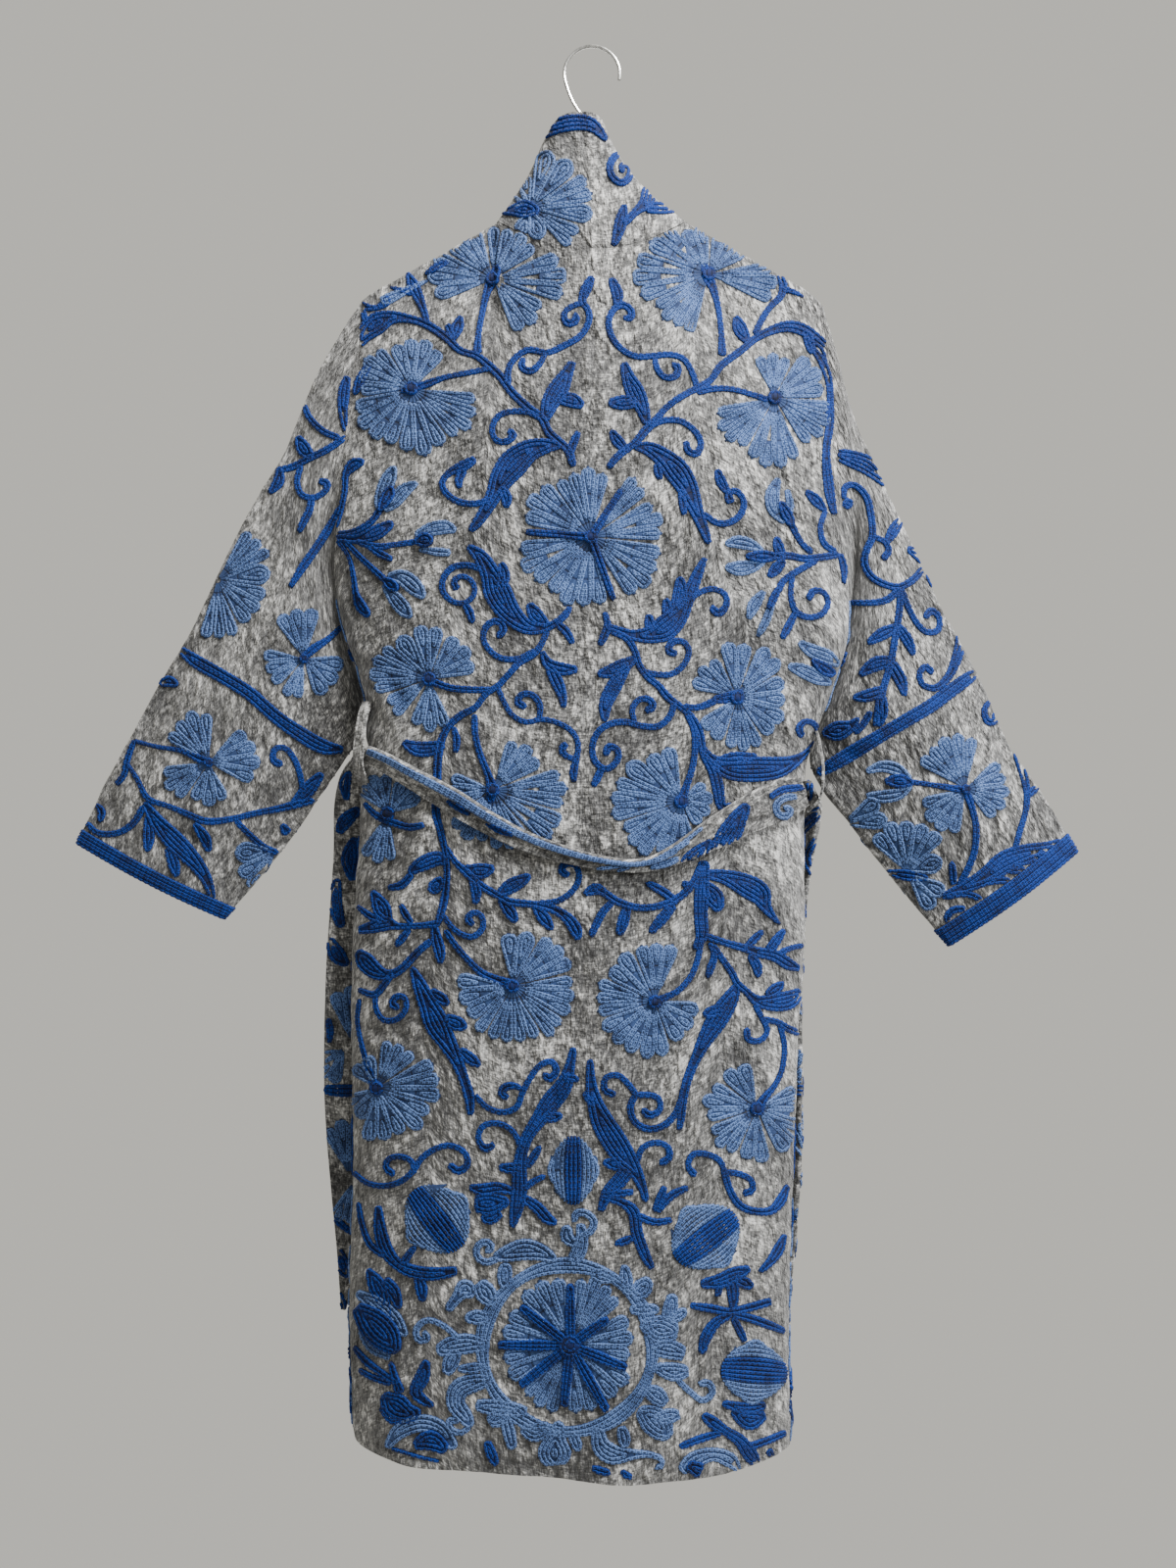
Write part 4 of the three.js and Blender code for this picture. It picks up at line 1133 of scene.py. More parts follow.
    def disc(self, x, y, radius, colour, lift=0.0):
        """A round patch of rows, one inside the other."""
        t = np.linspace(-1, 1, 7)
        spine = np.stack([x + t * (radius - 1), np.full(len(t), float(y))], -1)
        self.ground(spine, (radius - 1) * oval(t), colour, lift + DISC_PAD)
        ring = radius - PITCH / 2
        k = 0
        while ring > 0.8:
            turn = np.linspace(0, 2 * np.pi, max(8, int(2 * ring)))
            a, b = ring * np.cos(turn), ring * np.sin(turn)
            self.lay(np.stack([x + a, y - b], -1), colour, lift + NEST_RISE * k)
            ring -= PITCH
            k += 1

    def finish(self):
        """Makes one piece of each colour from the rows."""
        for colour, material in (("light", LIGHT), ("royal", ROYAL)):
            rows = self.rows[colour]
            if not rows:
                continue
            starts = np.cumsum([0] + [len(row[0]) for row in rows[:-1]])
            points = np.concatenate([row[0] for row in rows])
            faces = np.concatenate([row[1] + start for row, start in zip(rows, starts)])
            uvs = np.concatenate([row[2] for row in rows])
            piece = new_mesh(f"{self.name}_{colour}_blue_stitching", points, faces, uvs, material, 75)
            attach(piece, "root")


def stitch_row(place, normal, along, lift, scalloped):
    """The closed body of one row: low edges and a raised back, pinched where one stitch meets the next."""
    count = len(place)
    tangent = unit(np.gradient(place, axis=0))
    side = unit(np.cross(normal, tangent))
    pinch = np.ones(count)
    if scalloped:
        pinch[1::2] = PINCH
    ends = np.ones(count)
    ends[[0, -1]] = ROW_END
    wide = (ROW * pinch * ends)[:, None, None] * ACROSS[None, :, None]
    high = ((RISE * (0.3 + 0.7 * pinch) * ends)[:, None] * np.maximum(STANDS, 0)[None]
            + np.minimum(STANDS, 0)[None] + lift * (STANDS > 0)[None])
    ring = place[:, None] + side[:, None] * wide + normal[:, None] * high[..., None]
    index, quads = tube(count, 4)
    quads = np.concatenate([quads, index[:1], index[-1:, ::-1]])
    lines = np.stack([np.broadcast_to(OVER, (count, 4)), np.broadcast_to(along[:, None], (count, 4))], -1)
    return ring.reshape(-1, 3), quads, lines.reshape(-1, 2)[quads]


def pad(marks, lift):
    """The closed body of a shape's ground, from places and normals at its two edges and its middle."""
    place, normal = marks[..., :3], marks[..., 3:]
    count = len(place)
    left, middle, right = (place[:, k] for k in range(3))
    up = [normal[:, k] for k in range(3)]
    ring = np.stack([
        left + PAD_EDGE * up[0], between(middle, left, 0.8) + (PAD_SHOULDER + lift) * up[0],
        middle + (PAD_TOP + lift) * up[1], between(middle, right, 0.8) + (PAD_SHOULDER + lift) * up[2],
        right + PAD_EDGE * up[2], middle + PAD_UNDER * up[1],
    ], 1)
    index, quads = tube(count, 6)
    caps = [index[0, [0, 1, 2, 5]], index[0, [2, 3, 4, 5]], index[-1, [5, 2, 1, 0]], index[-1, [5, 4, 3, 2]]]
    quads = np.concatenate([quads, caps])
    # 0.05 across the stitch map is a row's dark edge tone, so the whole pad is painted shade, seen between
    # the rows over it.
    lines = np.stack([np.full((count, 6), 0.05), np.broadcast_to(np.arange(count)[:, None], (count, 6))], -1)
    return ring.reshape(-1, 3), quads, lines.reshape(-1, 2)[quads]


# ---------- the pattern ----------
# Stems, leaves and curls, each as points of x, y and width on the layout.

UPPER_LEFT = [
    [(367, 352, 9), (373, 340, 16), (385, 330, 20), (400, 324, 13), (420, 326, 9), (437, 332, 9),
     (456, 345, 9), (470, 358, 8), (486, 363, 8), (500, 374, 9), (512, 386, 9), (522, 400, 9),
     (540, 417, 9), (553, 427, 9), (560, 441, 9), (572, 452, 9), (580, 460, 9), (585, 475, 8)],
    [(416, 279, 6), (421, 290, 12), (427, 303, 11), (433, 318, 8), (436, 330, 7)],
    [(398, 293, 4), (408, 296, 6), (420, 299, 8)],
    [(358, 312, 9), (366, 311, 11), (375, 314, 8), (385, 314, 6), (395, 308, 9), (396, 303, 8)],
    [(370, 316, 6), (373, 328, 7)],
    [(470, 323, 7), (467, 333, 13), (462, 346, 9)],
    [(457, 332, 8), (462, 345, 8)],
    [(500, 376, 7), (480, 380, 7), (455, 385, 7), (438, 391, 9), (418, 398, 9), (410, 399, 7)],
    [(508, 272, 9), (503, 285, 12), (497, 298, 9), (492, 320, 7), (488, 343, 7), (487, 360, 10)],
    [(518, 392, 8), (519, 376, 7), (527, 364, 7), (540, 357, 7), (558, 360, 7), (575, 353, 7), (592, 343, 7),
     (601, 328, 7), (600, 316, 7), (594, 308, 8), (598, 295, 11), (604, 283, 8)],
    [(594, 309, 7), (583, 313, 7), (575, 321, 7), (579, 330, 9), (588, 327, 9), (587, 320, 7)],
    [(556, 361, 6), (551, 371, 7), (541, 379, 8), (532, 374, 8), (534, 366, 7)],
    [(556, 428, 10), (562, 410, 17), (571, 395, 18), (579, 380, 12), (584, 370, 9)],
    [(570, 406, 12), (585, 409, 14), (594, 414, 9)],
    [(553, 428, 7), (540, 421, 7), (522, 420, 7), (508, 425, 7), (502, 438, 7), (506, 449, 7), (516, 451, 8),
     (524, 444, 9), (519, 439, 7)],
    [(583, 474, 7), (582, 462, 9), (586, 450, 10), (590, 441, 8)],
    [(571, 455, 8), (558, 455, 14), (540, 460, 20), (525, 472, 25), (513, 487, 22), (505, 503, 16),
     (497, 518, 13), (488, 532, 11), (480, 541, 8)],
    [(511, 498, 9), (517, 508, 11), (516, 517, 8)],
    [(500, 510, 7), (485, 514, 7), (468, 512, 7), (455, 503, 7), (451, 492, 7), (459, 482, 8), (472, 476, 11),
     (484, 469, 9)],
    [(473, 480, 10), (468, 490, 10), (469, 498, 7)],
    [(377, 372, 8), (368, 388, 11), (362, 402, 7)],
    [(338, 546, 8), (360, 543, 8), (378, 533, 8), (388, 520, 9)],
    [(345, 549, 8), (365, 550, 10), (385, 543, 14), (400, 534, 9)],
    [(365, 553, 7), (385, 558, 8), (402, 556, 6), (424, 553, 7)],
    [(375, 556, 8), (388, 565, 9), (400, 571, 7)],
    [(345, 552, 7), (356, 568, 6), (361, 590, 7), (363, 605, 8), (368, 618, 12), (376, 628, 9)],
    [(352, 552, 7), (365, 566, 7), (380, 580, 7), (393, 592, 8)],
    [(341, 543, 7), (348, 520, 8), (352, 500, 8), (353, 484, 9), (361, 474, 13), (371, 471, 8)],
]
UPPER_RIGHT = [
    [(712, 400, 9), (725, 397, 8), (745, 397, 7), (765, 402, 7), (783, 408, 8)],
    [(828, 354, 8), (838, 368, 10), (845, 385, 10), (847, 405, 9), (845, 425, 9)],
    [(846, 375, 9), (842, 355, 11), (830, 344, 13), (818, 336, 13), (803, 333, 12), (785, 338, 10),
     (770, 346, 9), (757, 357, 9), (742, 368, 9), (733, 376, 9), (727, 386, 8), (716, 394, 9),
     (704, 400, 8), (690, 408, 8), (678, 418, 8), (668, 430, 9), (658, 440, 10), (648, 452, 9),
     (637, 460, 9), (628, 468, 9), (621, 477, 8)],
    [(822, 338, 9), (826, 350, 11), (828, 360, 8)],
    [(795, 281, 8), (799, 290, 10), (797, 302, 9), (786, 313, 8), (778, 325, 8), (770, 341, 8)],
    [(799, 295, 8), (810, 298, 6), (820, 303, 4)],
    [(751, 324, 8), (755, 335, 14), (762, 348, 10)],
    [(718, 270, 8), (722, 282, 12), (728, 296, 9), (733, 315, 7), (736, 340, 7), (737, 362, 10)],
    [(711, 395, 7), (706, 380, 7), (698, 367, 7), (685, 362, 7), (668, 363, 7), (650, 364, 7), (635, 357, 7),
     (624, 343, 7), (621, 328, 7), (626, 316, 7), (635, 311, 8), (644, 317, 8), (643, 325, 8), (636, 324, 6)],
    [(630, 314, 8), (630, 300, 12), (624, 285, 9)],
    [(668, 364, 6), (670, 375, 7), (678, 385, 7), (689, 384, 8), (692, 375, 8), (686, 372, 7)],
    [(660, 432, 9), (655, 415, 14), (648, 400, 17), (641, 385, 13), (637, 371, 9)],
    [(648, 410, 12), (634, 411, 14), (622, 411, 9)],
    [(663, 435, 7), (678, 429, 7), (695, 430, 7), (709, 440, 7), (715, 452, 7), (711, 463, 8), (702, 460, 8),
     (700, 451, 8)],
    [(624, 440, 8), (630, 450, 12), (641, 461, 8)],
    [(648, 456, 8), (662, 458, 14), (678, 468, 18), (690, 480, 22), (700, 495, 20), (707, 512, 16),
     (714, 530, 12), (720, 545, 10), (723, 554, 8)],
    [(670, 474, 9), (672, 484, 10), (674, 489, 7)],
    [(695, 500, 9), (697, 515, 10), (698, 525, 7)],
    [(719, 525, 7), (730, 533, 7), (742, 534, 7), (755, 526, 7), (759, 512, 7), (751, 501, 7), (743, 504, 7),
     (745, 512, 11)],
    [(732, 480, 8), (736, 492, 11), (742, 502, 8)],
    [(808, 536, 9), (817, 553, 7), (828, 564, 8)],
    [(788, 568, 10), (805, 567, 9), (820, 570, 9), (835, 569, 9), (855, 566, 9)],
    [(792, 549, 8), (795, 560, 12), (799, 568, 8)],
    [(785, 588, 8), (792, 580, 12), (800, 572, 8)],
    [(842, 522, 6), (837, 538, 6), (841, 555, 7), (852, 563, 7)],
    [(823, 502, 8), (833, 511, 12), (842, 521, 7)],
    [(857, 566, 8), (861, 580, 9), (861, 595, 6)],
    [(833, 572, 7), (815, 582, 7), (800, 592, 7), (794, 603, 8)],
    [(808, 588, 7), (807, 610, 7), (812, 624, 8), (824, 630, 7), (838, 627, 7), (845, 616, 7), (841, 605, 7),
     (830, 603, 8), (825, 611, 9)],
    [(812, 624, 8), (804, 640, 10), (798, 651, 8)],
    [(847, 392, 6), (847, 430, 9), (843, 462, 9), (846, 500, 11), (851, 524, 8)],
]
MIDDLE_LEFT = [
    [(372, 820, 6), (384, 832, 8), (403, 840, 8), (418, 844, 8), (432, 842, 7)],
    [(478, 558, 8), (490, 568, 14), (500, 585, 18), (508, 605, 24), (520, 625, 20), (538, 640, 14),
     (555, 641, 10), (568, 635, 8), (577, 627, 8), (582, 619, 6)],
    [(512, 575, 9), (514, 588, 13), (510, 602, 10)],
    [(540, 617, 9), (547, 628, 14), (558, 638, 9)],
    [(494, 582, 8), (478, 577, 8), (462, 579, 8), (452, 591, 8), (452, 604, 8), (462, 614, 7), (475, 615, 7),
     (484, 606, 7), (482, 594, 7), (472, 588, 7), (463, 593, 8), (466, 601, 10)],
    [(472, 614, 7), (479, 624, 10), (482, 635, 8)],
    [(568, 636, 9), (578, 645, 10), (584, 656, 8)],
    [(558, 645, 8), (552, 658, 8), (545, 667, 9), (530, 676, 9), (520, 687, 8), (508, 700, 8), (496, 708, 8),
     (485, 722, 8), (470, 730, 9), (457, 742, 9), (450, 757, 10), (447, 775, 10), (446, 800, 10),
     (445, 830, 10), (450, 850, 9), (455, 872, 9), (456, 895, 9), (453, 920, 10), (447, 942, 9)],
    [(545, 664, 7), (530, 672, 7), (512, 672, 7), (500, 664, 7), (493, 651, 7), (497, 638, 8), (508, 634, 8),
     (514, 642, 9), (508, 650, 8)],
    [(553, 665, 7), (560, 678, 12), (575, 683, 13), (588, 683, 9)],
    [(560, 680, 10), (568, 695, 13), (574, 711, 10), (575, 722, 7)],
    [(508, 702, 7), (514, 716, 7), (523, 730, 7), (537, 737, 7), (552, 734, 7), (570, 738, 7), (584, 747, 7),
     (590, 760, 7), (588, 775, 8), (585, 788, 10), (586, 798, 6)],
    [(550, 734, 6), (551, 720, 7), (543, 709, 7), (532, 709, 7), (528, 717, 8), (536, 721, 8)],
    [(588, 774, 6), (580, 773, 7), (573, 766, 8), (577, 759, 9)],
    [(463, 742, 6), (466, 755, 9), (465, 767, 7)],
    [(452, 760, 10), (440, 764, 14), (425, 764, 14), (412, 758, 9)],
    [(440, 695, 9), (460, 702, 8), (484, 704, 8), (502, 704, 7)],
    [(484, 730, 7), (485, 750, 7), (490, 770, 7), (498, 790, 8), (502, 805, 11), (500, 818, 9)],
]
MIDDLE_RIGHT = [
    [(719, 570, 7), (712, 585, 11), (706, 600, 13), (700, 615, 14), (690, 630, 20), (677, 642, 22),
     (662, 648, 16), (645, 648, 11), (630, 643, 9), (619, 639, 8)],
    [(694, 590, 9), (694, 605, 14), (690, 620, 12)],
    [(680, 612, 9), (681, 626, 12)],
    [(662, 628, 9), (663, 641, 12)],
    [(617, 625, 7), (620, 638, 9), (616, 650, 10), (612, 658, 8)],
    [(703, 612, 7), (715, 604, 7), (728, 601, 7), (740, 607, 7), (741, 618, 8), (733, 626, 9), (726, 620, 9)],
    [(622, 643, 8), (640, 652, 8), (648, 665, 8), (652, 678, 8), (660, 690, 8), (672, 700, 8),
     (682, 712, 9), (695, 722, 8), (706, 732, 8), (714, 748, 9), (718, 770, 9), (728, 786, 12),
     (733, 806, 12), (737, 824, 10), (748, 822, 8)],
    [(648, 672, 8), (635, 680, 14), (620, 686, 12), (611, 688, 8)],
    [(640, 680, 9), (628, 698, 14), (618, 718, 13), (617, 735, 8)],
    [(655, 685, 7), (668, 688, 7), (685, 688, 7), (698, 678, 7), (703, 664, 7), (697, 655, 7), (686, 655, 8),
     (682, 664, 9), (690, 667, 8)],
    [(688, 716, 7), (684, 730, 7), (672, 741, 7), (655, 741, 7), (640, 737, 7), (625, 738, 7), (612, 745, 7),
     (605, 758, 7), (606, 775, 7), (618, 785, 7), (630, 776, 7), (630, 765, 7), (621, 762, 8), (618, 770, 8)],
    [(648, 738, 6), (645, 724, 7), (652, 714, 7), (663, 714, 8), (666, 722, 9), (659, 725, 8)],
    [(614, 784, 8), (609, 795, 9), (605, 802, 7)],
    [(728, 714, 8), (742, 712, 11), (757, 707, 9)],
    [(730, 715, 8), (712, 722, 7), (698, 721, 7)],
    [(700, 726, 7), (708, 745, 7), (709, 765, 7), (706, 785, 7), (700, 803, 8), (695, 818, 11)],
    [(716, 762, 7), (727, 776, 12), (745, 784, 20), (770, 785, 22), (795, 783, 19), (812, 776, 12),
     (824, 766, 7), (833, 752, 7), (832, 740, 7), (822, 736, 7), (815, 743, 9), (818, 751, 9)],
    [(730, 778, 9), (748, 774, 13), (772, 772, 8)],
]
LOWER_LEFT = [
    [(418, 890, 9), (430, 882, 14), (447, 876, 14), (456, 880, 9)],
    [(397, 906, 8), (410, 903, 10), (420, 892, 9)],
    [(440, 910, 9), (444, 905, 14), (451, 897, 9)],
    [(455, 865, 8), (465, 880, 8), (478, 892, 10), (490, 903, 9), (505, 912, 9), (520, 920, 9), (545, 923, 9),
     (565, 928, 10), (580, 938, 12), (588, 950, 13), (590, 958, 8)],
    [(474, 886, 8), (490, 889, 15), (503, 886, 9)],
    [(482, 895, 9), (486, 910, 11), (485, 922, 7)],
    [(508, 913, 8), (520, 905, 14), (535, 897, 11), (540, 893, 7)],
    [(510, 918, 8), (520, 930, 13), (526, 940, 9)],
    [(545, 925, 8), (555, 937, 13), (563, 948, 8)],
    [(550, 922, 7), (570, 919, 7), (585, 908, 7), (591, 895, 7), (587, 883, 7), (577, 881, 8), (573, 889, 9),
     (580, 893, 8)],
    [(453, 935, 7), (460, 945, 7), (470, 953, 7), (482, 956, 7), (492, 948, 7), (492, 936, 7), (484, 931, 7),
     (477, 937, 8), (482, 943, 9)],
    [(448, 942, 8), (435, 944, 7), (420, 945, 7), (405, 945, 8), (395, 942, 14), (380, 946, 12),
     (367, 949, 9)],
    [(397, 940, 10), (390, 928, 17), (383, 915, 11), (380, 910, 7)],
    [(365, 925, 6), (378, 935, 9), (390, 940, 8)],
    [(420, 942, 8), (413, 932, 10), (409, 923, 7)],
    [(418, 948, 7), (410, 958, 10), (404, 965, 7)],
    [(443, 945, 9), (446, 960, 12), (449, 972, 12), (449, 982, 8)],
    [(440, 960, 8), (430, 968, 8), (420, 978, 9), (408, 990, 9), (395, 995, 11), (382, 990, 16),
     (372, 980, 17), (366, 971, 9)],
    [(400, 993, 8), (392, 1005, 8), (382, 1015, 8), (366, 1010, 6)],
    [(383, 1015, 7), (384, 1030, 7), (392, 1041, 7), (405, 1040, 7), (414, 1030, 7), (413, 1018, 7),
     (404, 1017, 8), (400, 1025, 9), (407, 1028, 8)],
    [(367, 1020, 6), (365, 1040, 6), (368, 1060, 6), (373, 1080, 7), (378, 1095, 9), (383, 1110, 11)],
    [(421, 988, 8), (428, 1005, 14), (437, 1025, 18), (446, 1045, 22), (457, 1065, 17), (466, 1082, 13),
     (473, 1100, 11), (479, 1120, 11), (480, 1137, 8)],
    [(440, 1012, 10), (452, 1020, 12), (457, 1025, 7)],
    [(455, 1040, 12), (468, 1045, 14), (475, 1048, 8)],
    [(470, 1072, 10), (482, 1082, 12), (489, 1087, 7)],
    [(455, 950, 7), (465, 965, 7), (478, 980, 7), (492, 993, 8), (508, 1000, 9), (523, 1005, 11)],
    [(485, 1118, 7), (497, 1130, 7), (513, 1135, 7), (527, 1130, 7), (533, 1115, 7), (541, 1100, 7),
     (550, 1088, 7), (562, 1083, 7), (568, 1092, 8), (561, 1101, 9), (555, 1096, 8)],
    [(533, 1112, 6), (526, 1108, 8), (516, 1109, 10), (511, 1116, 9), (518, 1120, 8)],
    [(423, 1197, 7), (420, 1185, 7), (408, 1180, 7), (396, 1183, 7), (394, 1192, 8), (402, 1198, 9)],
    [(362, 1197, 7), (375, 1207, 7), (392, 1210, 7), (410, 1205, 7), (423, 1193, 7), (430, 1182, 7),
     (445, 1172, 7), (460, 1169, 7), (474, 1176, 7), (477, 1188, 8), (468, 1195, 9), (459, 1189, 9)],
    [(532, 1172, 8), (527, 1160, 7), (518, 1150, 7), (504, 1146, 7), (492, 1150, 7), (488, 1162, 7),
     (495, 1172, 9), (504, 1168, 8)],
    [(585, 1070, 8), (581, 1090, 11), (575, 1108, 16), (562, 1125, 18), (548, 1145, 14), (538, 1160, 12),
     (532, 1178, 12), (530, 1195, 14), (530, 1212, 15), (528, 1228, 14), (525, 1242, 11), (523, 1252, 7)],
    [(575, 1098, 8), (586, 1100, 9), (590, 1103, 6)],
    [(555, 1140, 10), (565, 1140, 11), (573, 1138, 7)],
    [(530, 1192, 12), (518, 1192, 11), (510, 1191, 8)],
    [(538, 1190, 9), (546, 1178, 10), (551, 1170, 7)],
    [(533, 1222, 10), (548, 1232, 12), (558, 1243, 12), (567, 1248, 8)],
    [(533, 1214, 8), (545, 1205, 7), (556, 1200, 6)],
    [(525, 1216, 9), (508, 1212, 12), (494, 1214, 13), (480, 1212, 9)],
    [(518, 1226, 10), (500, 1228, 20), (486, 1228, 17)],
    [(510, 1238, 10), (500, 1244, 12), (492, 1242, 9)],
]
LOWER_RIGHT = [
    [(668, 1022, 9), (678, 1018, 8), (692, 1011, 7), (705, 996, 7), (712, 978, 7), (716, 957, 7)],
    [(605, 905, 8), (618, 912, 9), (630, 920, 9), (650, 926, 8), (670, 925, 8), (685, 920, 9), (700, 910, 9),
     (709, 898, 9), (714, 884, 8)],
    [(597, 912, 8), (608, 907, 12), (618, 911, 8)],
    [(625, 920, 8), (615, 931, 9), (608, 944, 9), (603, 955, 8)],
    [(640, 925, 9), (636, 940, 12), (632, 953, 9)],
    [(690, 921, 10), (680, 912, 10), (668, 905, 10), (660, 901, 7)],
    [(687, 924, 9), (675, 938, 11), (664, 951, 8)],
    [(700, 900, 9), (698, 905, 8)],
    [(718, 880, 12), (716, 910, 14), (715, 935, 13), (716, 955, 12), (709, 968, 7)],
    [(718, 900, 8), (728, 915, 18), (734, 928, 11)],
    [(722, 892, 10), (740, 895, 14), (760, 903, 20), (775, 912, 20), (781, 925, 12), (790, 937, 7),
     (796, 943, 4)],
    [(720, 955, 8), (740, 962, 8), (758, 967, 9), (775, 972, 11), (790, 975, 12), (805, 984, 12),
     (815, 988, 8)],
    [(760, 968, 8), (770, 958, 10), (778, 950, 7)],
    [(765, 975, 8), (772, 985, 11), (774, 996, 8)],
    [(785, 970, 11), (794, 957, 10), (800, 949, 6)],
    [(795, 973, 8), (808, 967, 6), (819, 965, 6)],
    [(724, 962, 7), (729, 975, 8), (725, 988, 10), (722, 997, 7)],
    [(728, 965, 7), (738, 980, 7), (747, 993, 8), (752, 1003, 8), (762, 1012, 8), (772, 1021, 11),
     (790, 1023, 16), (806, 1020, 17), (816, 1012, 10)],
    [(783, 1015, 10), (793, 1008, 12), (799, 1003, 6)],
    [(752, 1005, 9), (745, 1020, 16), (732, 1040, 19), (720, 1060, 15), (710, 1080, 11), (702, 1100, 10),
     (697, 1120, 10), (695, 1140, 9), (693, 1152, 7)],
    [(735, 1030, 12), (723, 1034, 12), (718, 1035, 7)],
    [(770, 1025, 7), (778, 1040, 7), (783, 1052, 7), (775, 1062, 7), (763, 1060, 8), (762, 1050, 9)],
    [(778, 1040, 7), (793, 1043, 7), (805, 1050, 8), (815, 1054, 8)],
    [(795, 1045, 7), (800, 1065, 7), (798, 1090, 7), (790, 1108, 7), (780, 1120, 9), (772, 1133, 12)],
    [(650, 1118, 7), (640, 1105, 7), (630, 1097, 7), (618, 1100, 7), (617, 1112, 8), (627, 1117, 9)],
    [(648, 1118, 7), (660, 1117, 7), (672, 1121, 7), (673, 1133, 7), (662, 1138, 9), (656, 1132, 8)],
    [(648, 1118, 7), (643, 1130, 7), (648, 1145, 7), (662, 1152, 7), (678, 1148, 7), (690, 1135, 7),
     (695, 1121, 6)],
    [(650, 1186, 7), (655, 1172, 7), (668, 1166, 7), (681, 1170, 7), (683, 1181, 8), (674, 1187, 9)],
    [(740, 1200, 7), (735, 1185, 7), (722, 1178, 7), (707, 1178, 7), (702, 1190, 7), (709, 1199, 9)],
    [(738, 1192, 8), (745, 1215, 8), (755, 1230, 8), (770, 1236, 8), (787, 1235, 9), (797, 1224, 11),
     (803, 1210, 7)],
    [(742, 1196, 7), (755, 1198, 7), (766, 1204, 7), (768, 1214, 8), (759, 1218, 9)],
    [(602, 1082, 8), (603, 1105, 11), (607, 1125, 15), (615, 1145, 20), (627, 1165, 22), (637, 1180, 20),
     (648, 1195, 14), (655, 1210, 10), (659, 1225, 8)],
    [(606, 1128, 8), (599, 1120, 8), (596, 1114, 5)],
    [(632, 1188, 14), (622, 1187, 11), (616, 1186, 6)],
    [(640, 1194, 14), (631, 1206, 14), (620, 1217, 12), (613, 1235, 8)],
    [(618, 1218, 9), (632, 1218, 9), (646, 1216, 7)],
    [(614, 1222, 8), (632, 1226, 9), (646, 1236, 12), (650, 1258, 12), (658, 1280, 11), (665, 1294, 8)],
    [(650, 1240, 8), (668, 1247, 8), (685, 1245, 7)],
    [(645, 1263, 9), (636, 1267, 10), (628, 1269, 7)],
    [(668, 1235, 8), (674, 1222, 10), (678, 1211, 8)],
    [(671, 1236, 8), (685, 1220, 10), (701, 1212, 8)],
]
HEM_LEFT = [
    [(386, 1232, 9), (388, 1255, 13), (394, 1275, 14), (405, 1289, 12), (420, 1297, 13), (440, 1300, 13),
     (465, 1297, 10)],
    [(366, 1228, 7), (370, 1250, 8), (378, 1270, 9), (392, 1281, 9)],
    [(411, 1290, 10), (418, 1279, 9), (424, 1272, 7)],
    [(426, 1300, 10), (430, 1315, 13), (431, 1327, 9)],
    [(376, 1296, 8), (385, 1312, 17), (392, 1328, 13), (398, 1345, 7)],
    [(392, 1308, 14), (402, 1318, 13), (407, 1334, 9)],
    [(362, 1375, 8), (375, 1390, 10), (390, 1401, 9), (405, 1411, 9)],
    [(367, 1398, 7), (380, 1405, 8), (398, 1411, 9)],
    [(435, 1389, 9), (431, 1405, 14), (424, 1420, 12), (434, 1430, 10), (442, 1434, 6)],
    [(392, 1424, 12), (402, 1434, 24), (416, 1442, 20), (428, 1440, 9)],
    [(390, 1436, 10), (400, 1449, 10), (412, 1450, 7)],
    [(399, 1391, 8), (403, 1405, 9), (408, 1420, 12)],
    [(497, 1472, 9), (502, 1485, 11), (506, 1494, 8)],
    [(400, 1478, 6), (430, 1487, 6), (448, 1491, 5)],
]
HEM_RIGHT = [
    [(605, 1498, 8), (614, 1501, 9), (622, 1503, 8)],
    [(634, 1501, 6), (640, 1506, 8), (645, 1507, 6)],
    [(716, 1310, 10), (735, 1307, 14), (750, 1300, 14), (764, 1295, 9)],
    [(745, 1300, 12), (748, 1318, 13), (748, 1336, 9)],
    [(705, 1332, 8), (725, 1335, 10), (745, 1338, 9), (765, 1334, 10), (786, 1328, 10)],
    [(745, 1341, 9), (730, 1350, 11), (720, 1365, 12), (716, 1380, 9)],
    [(748, 1341, 9), (765, 1345, 10), (785, 1352, 10), (800, 1358, 8)],
    [(748, 1345, 8), (755, 1358, 9), (760, 1368, 8)],
    [(735, 1310, 9), (732, 1322, 8)],
    [(752, 1305, 12), (762, 1310, 12), (768, 1313, 7)],
    [(738, 1432, 8), (760, 1437, 12), (780, 1434, 10)],
    [(748, 1440, 10), (765, 1449, 18), (780, 1444, 10)],
    [(718, 1444, 9), (728, 1452, 12), (740, 1460, 10), (755, 1470, 12), (766, 1485, 14), (774, 1495, 9)],
    [(694, 1476, 8), (715, 1468, 9), (735, 1462, 8)],
    [(765, 1476, 9), (785, 1469, 9), (801, 1462, 8)],
    [(784, 1480, 10), (790, 1488, 7)],
    [(776, 1297, 7), (786, 1287, 10), (794, 1275, 12), (800, 1261, 8)],
]

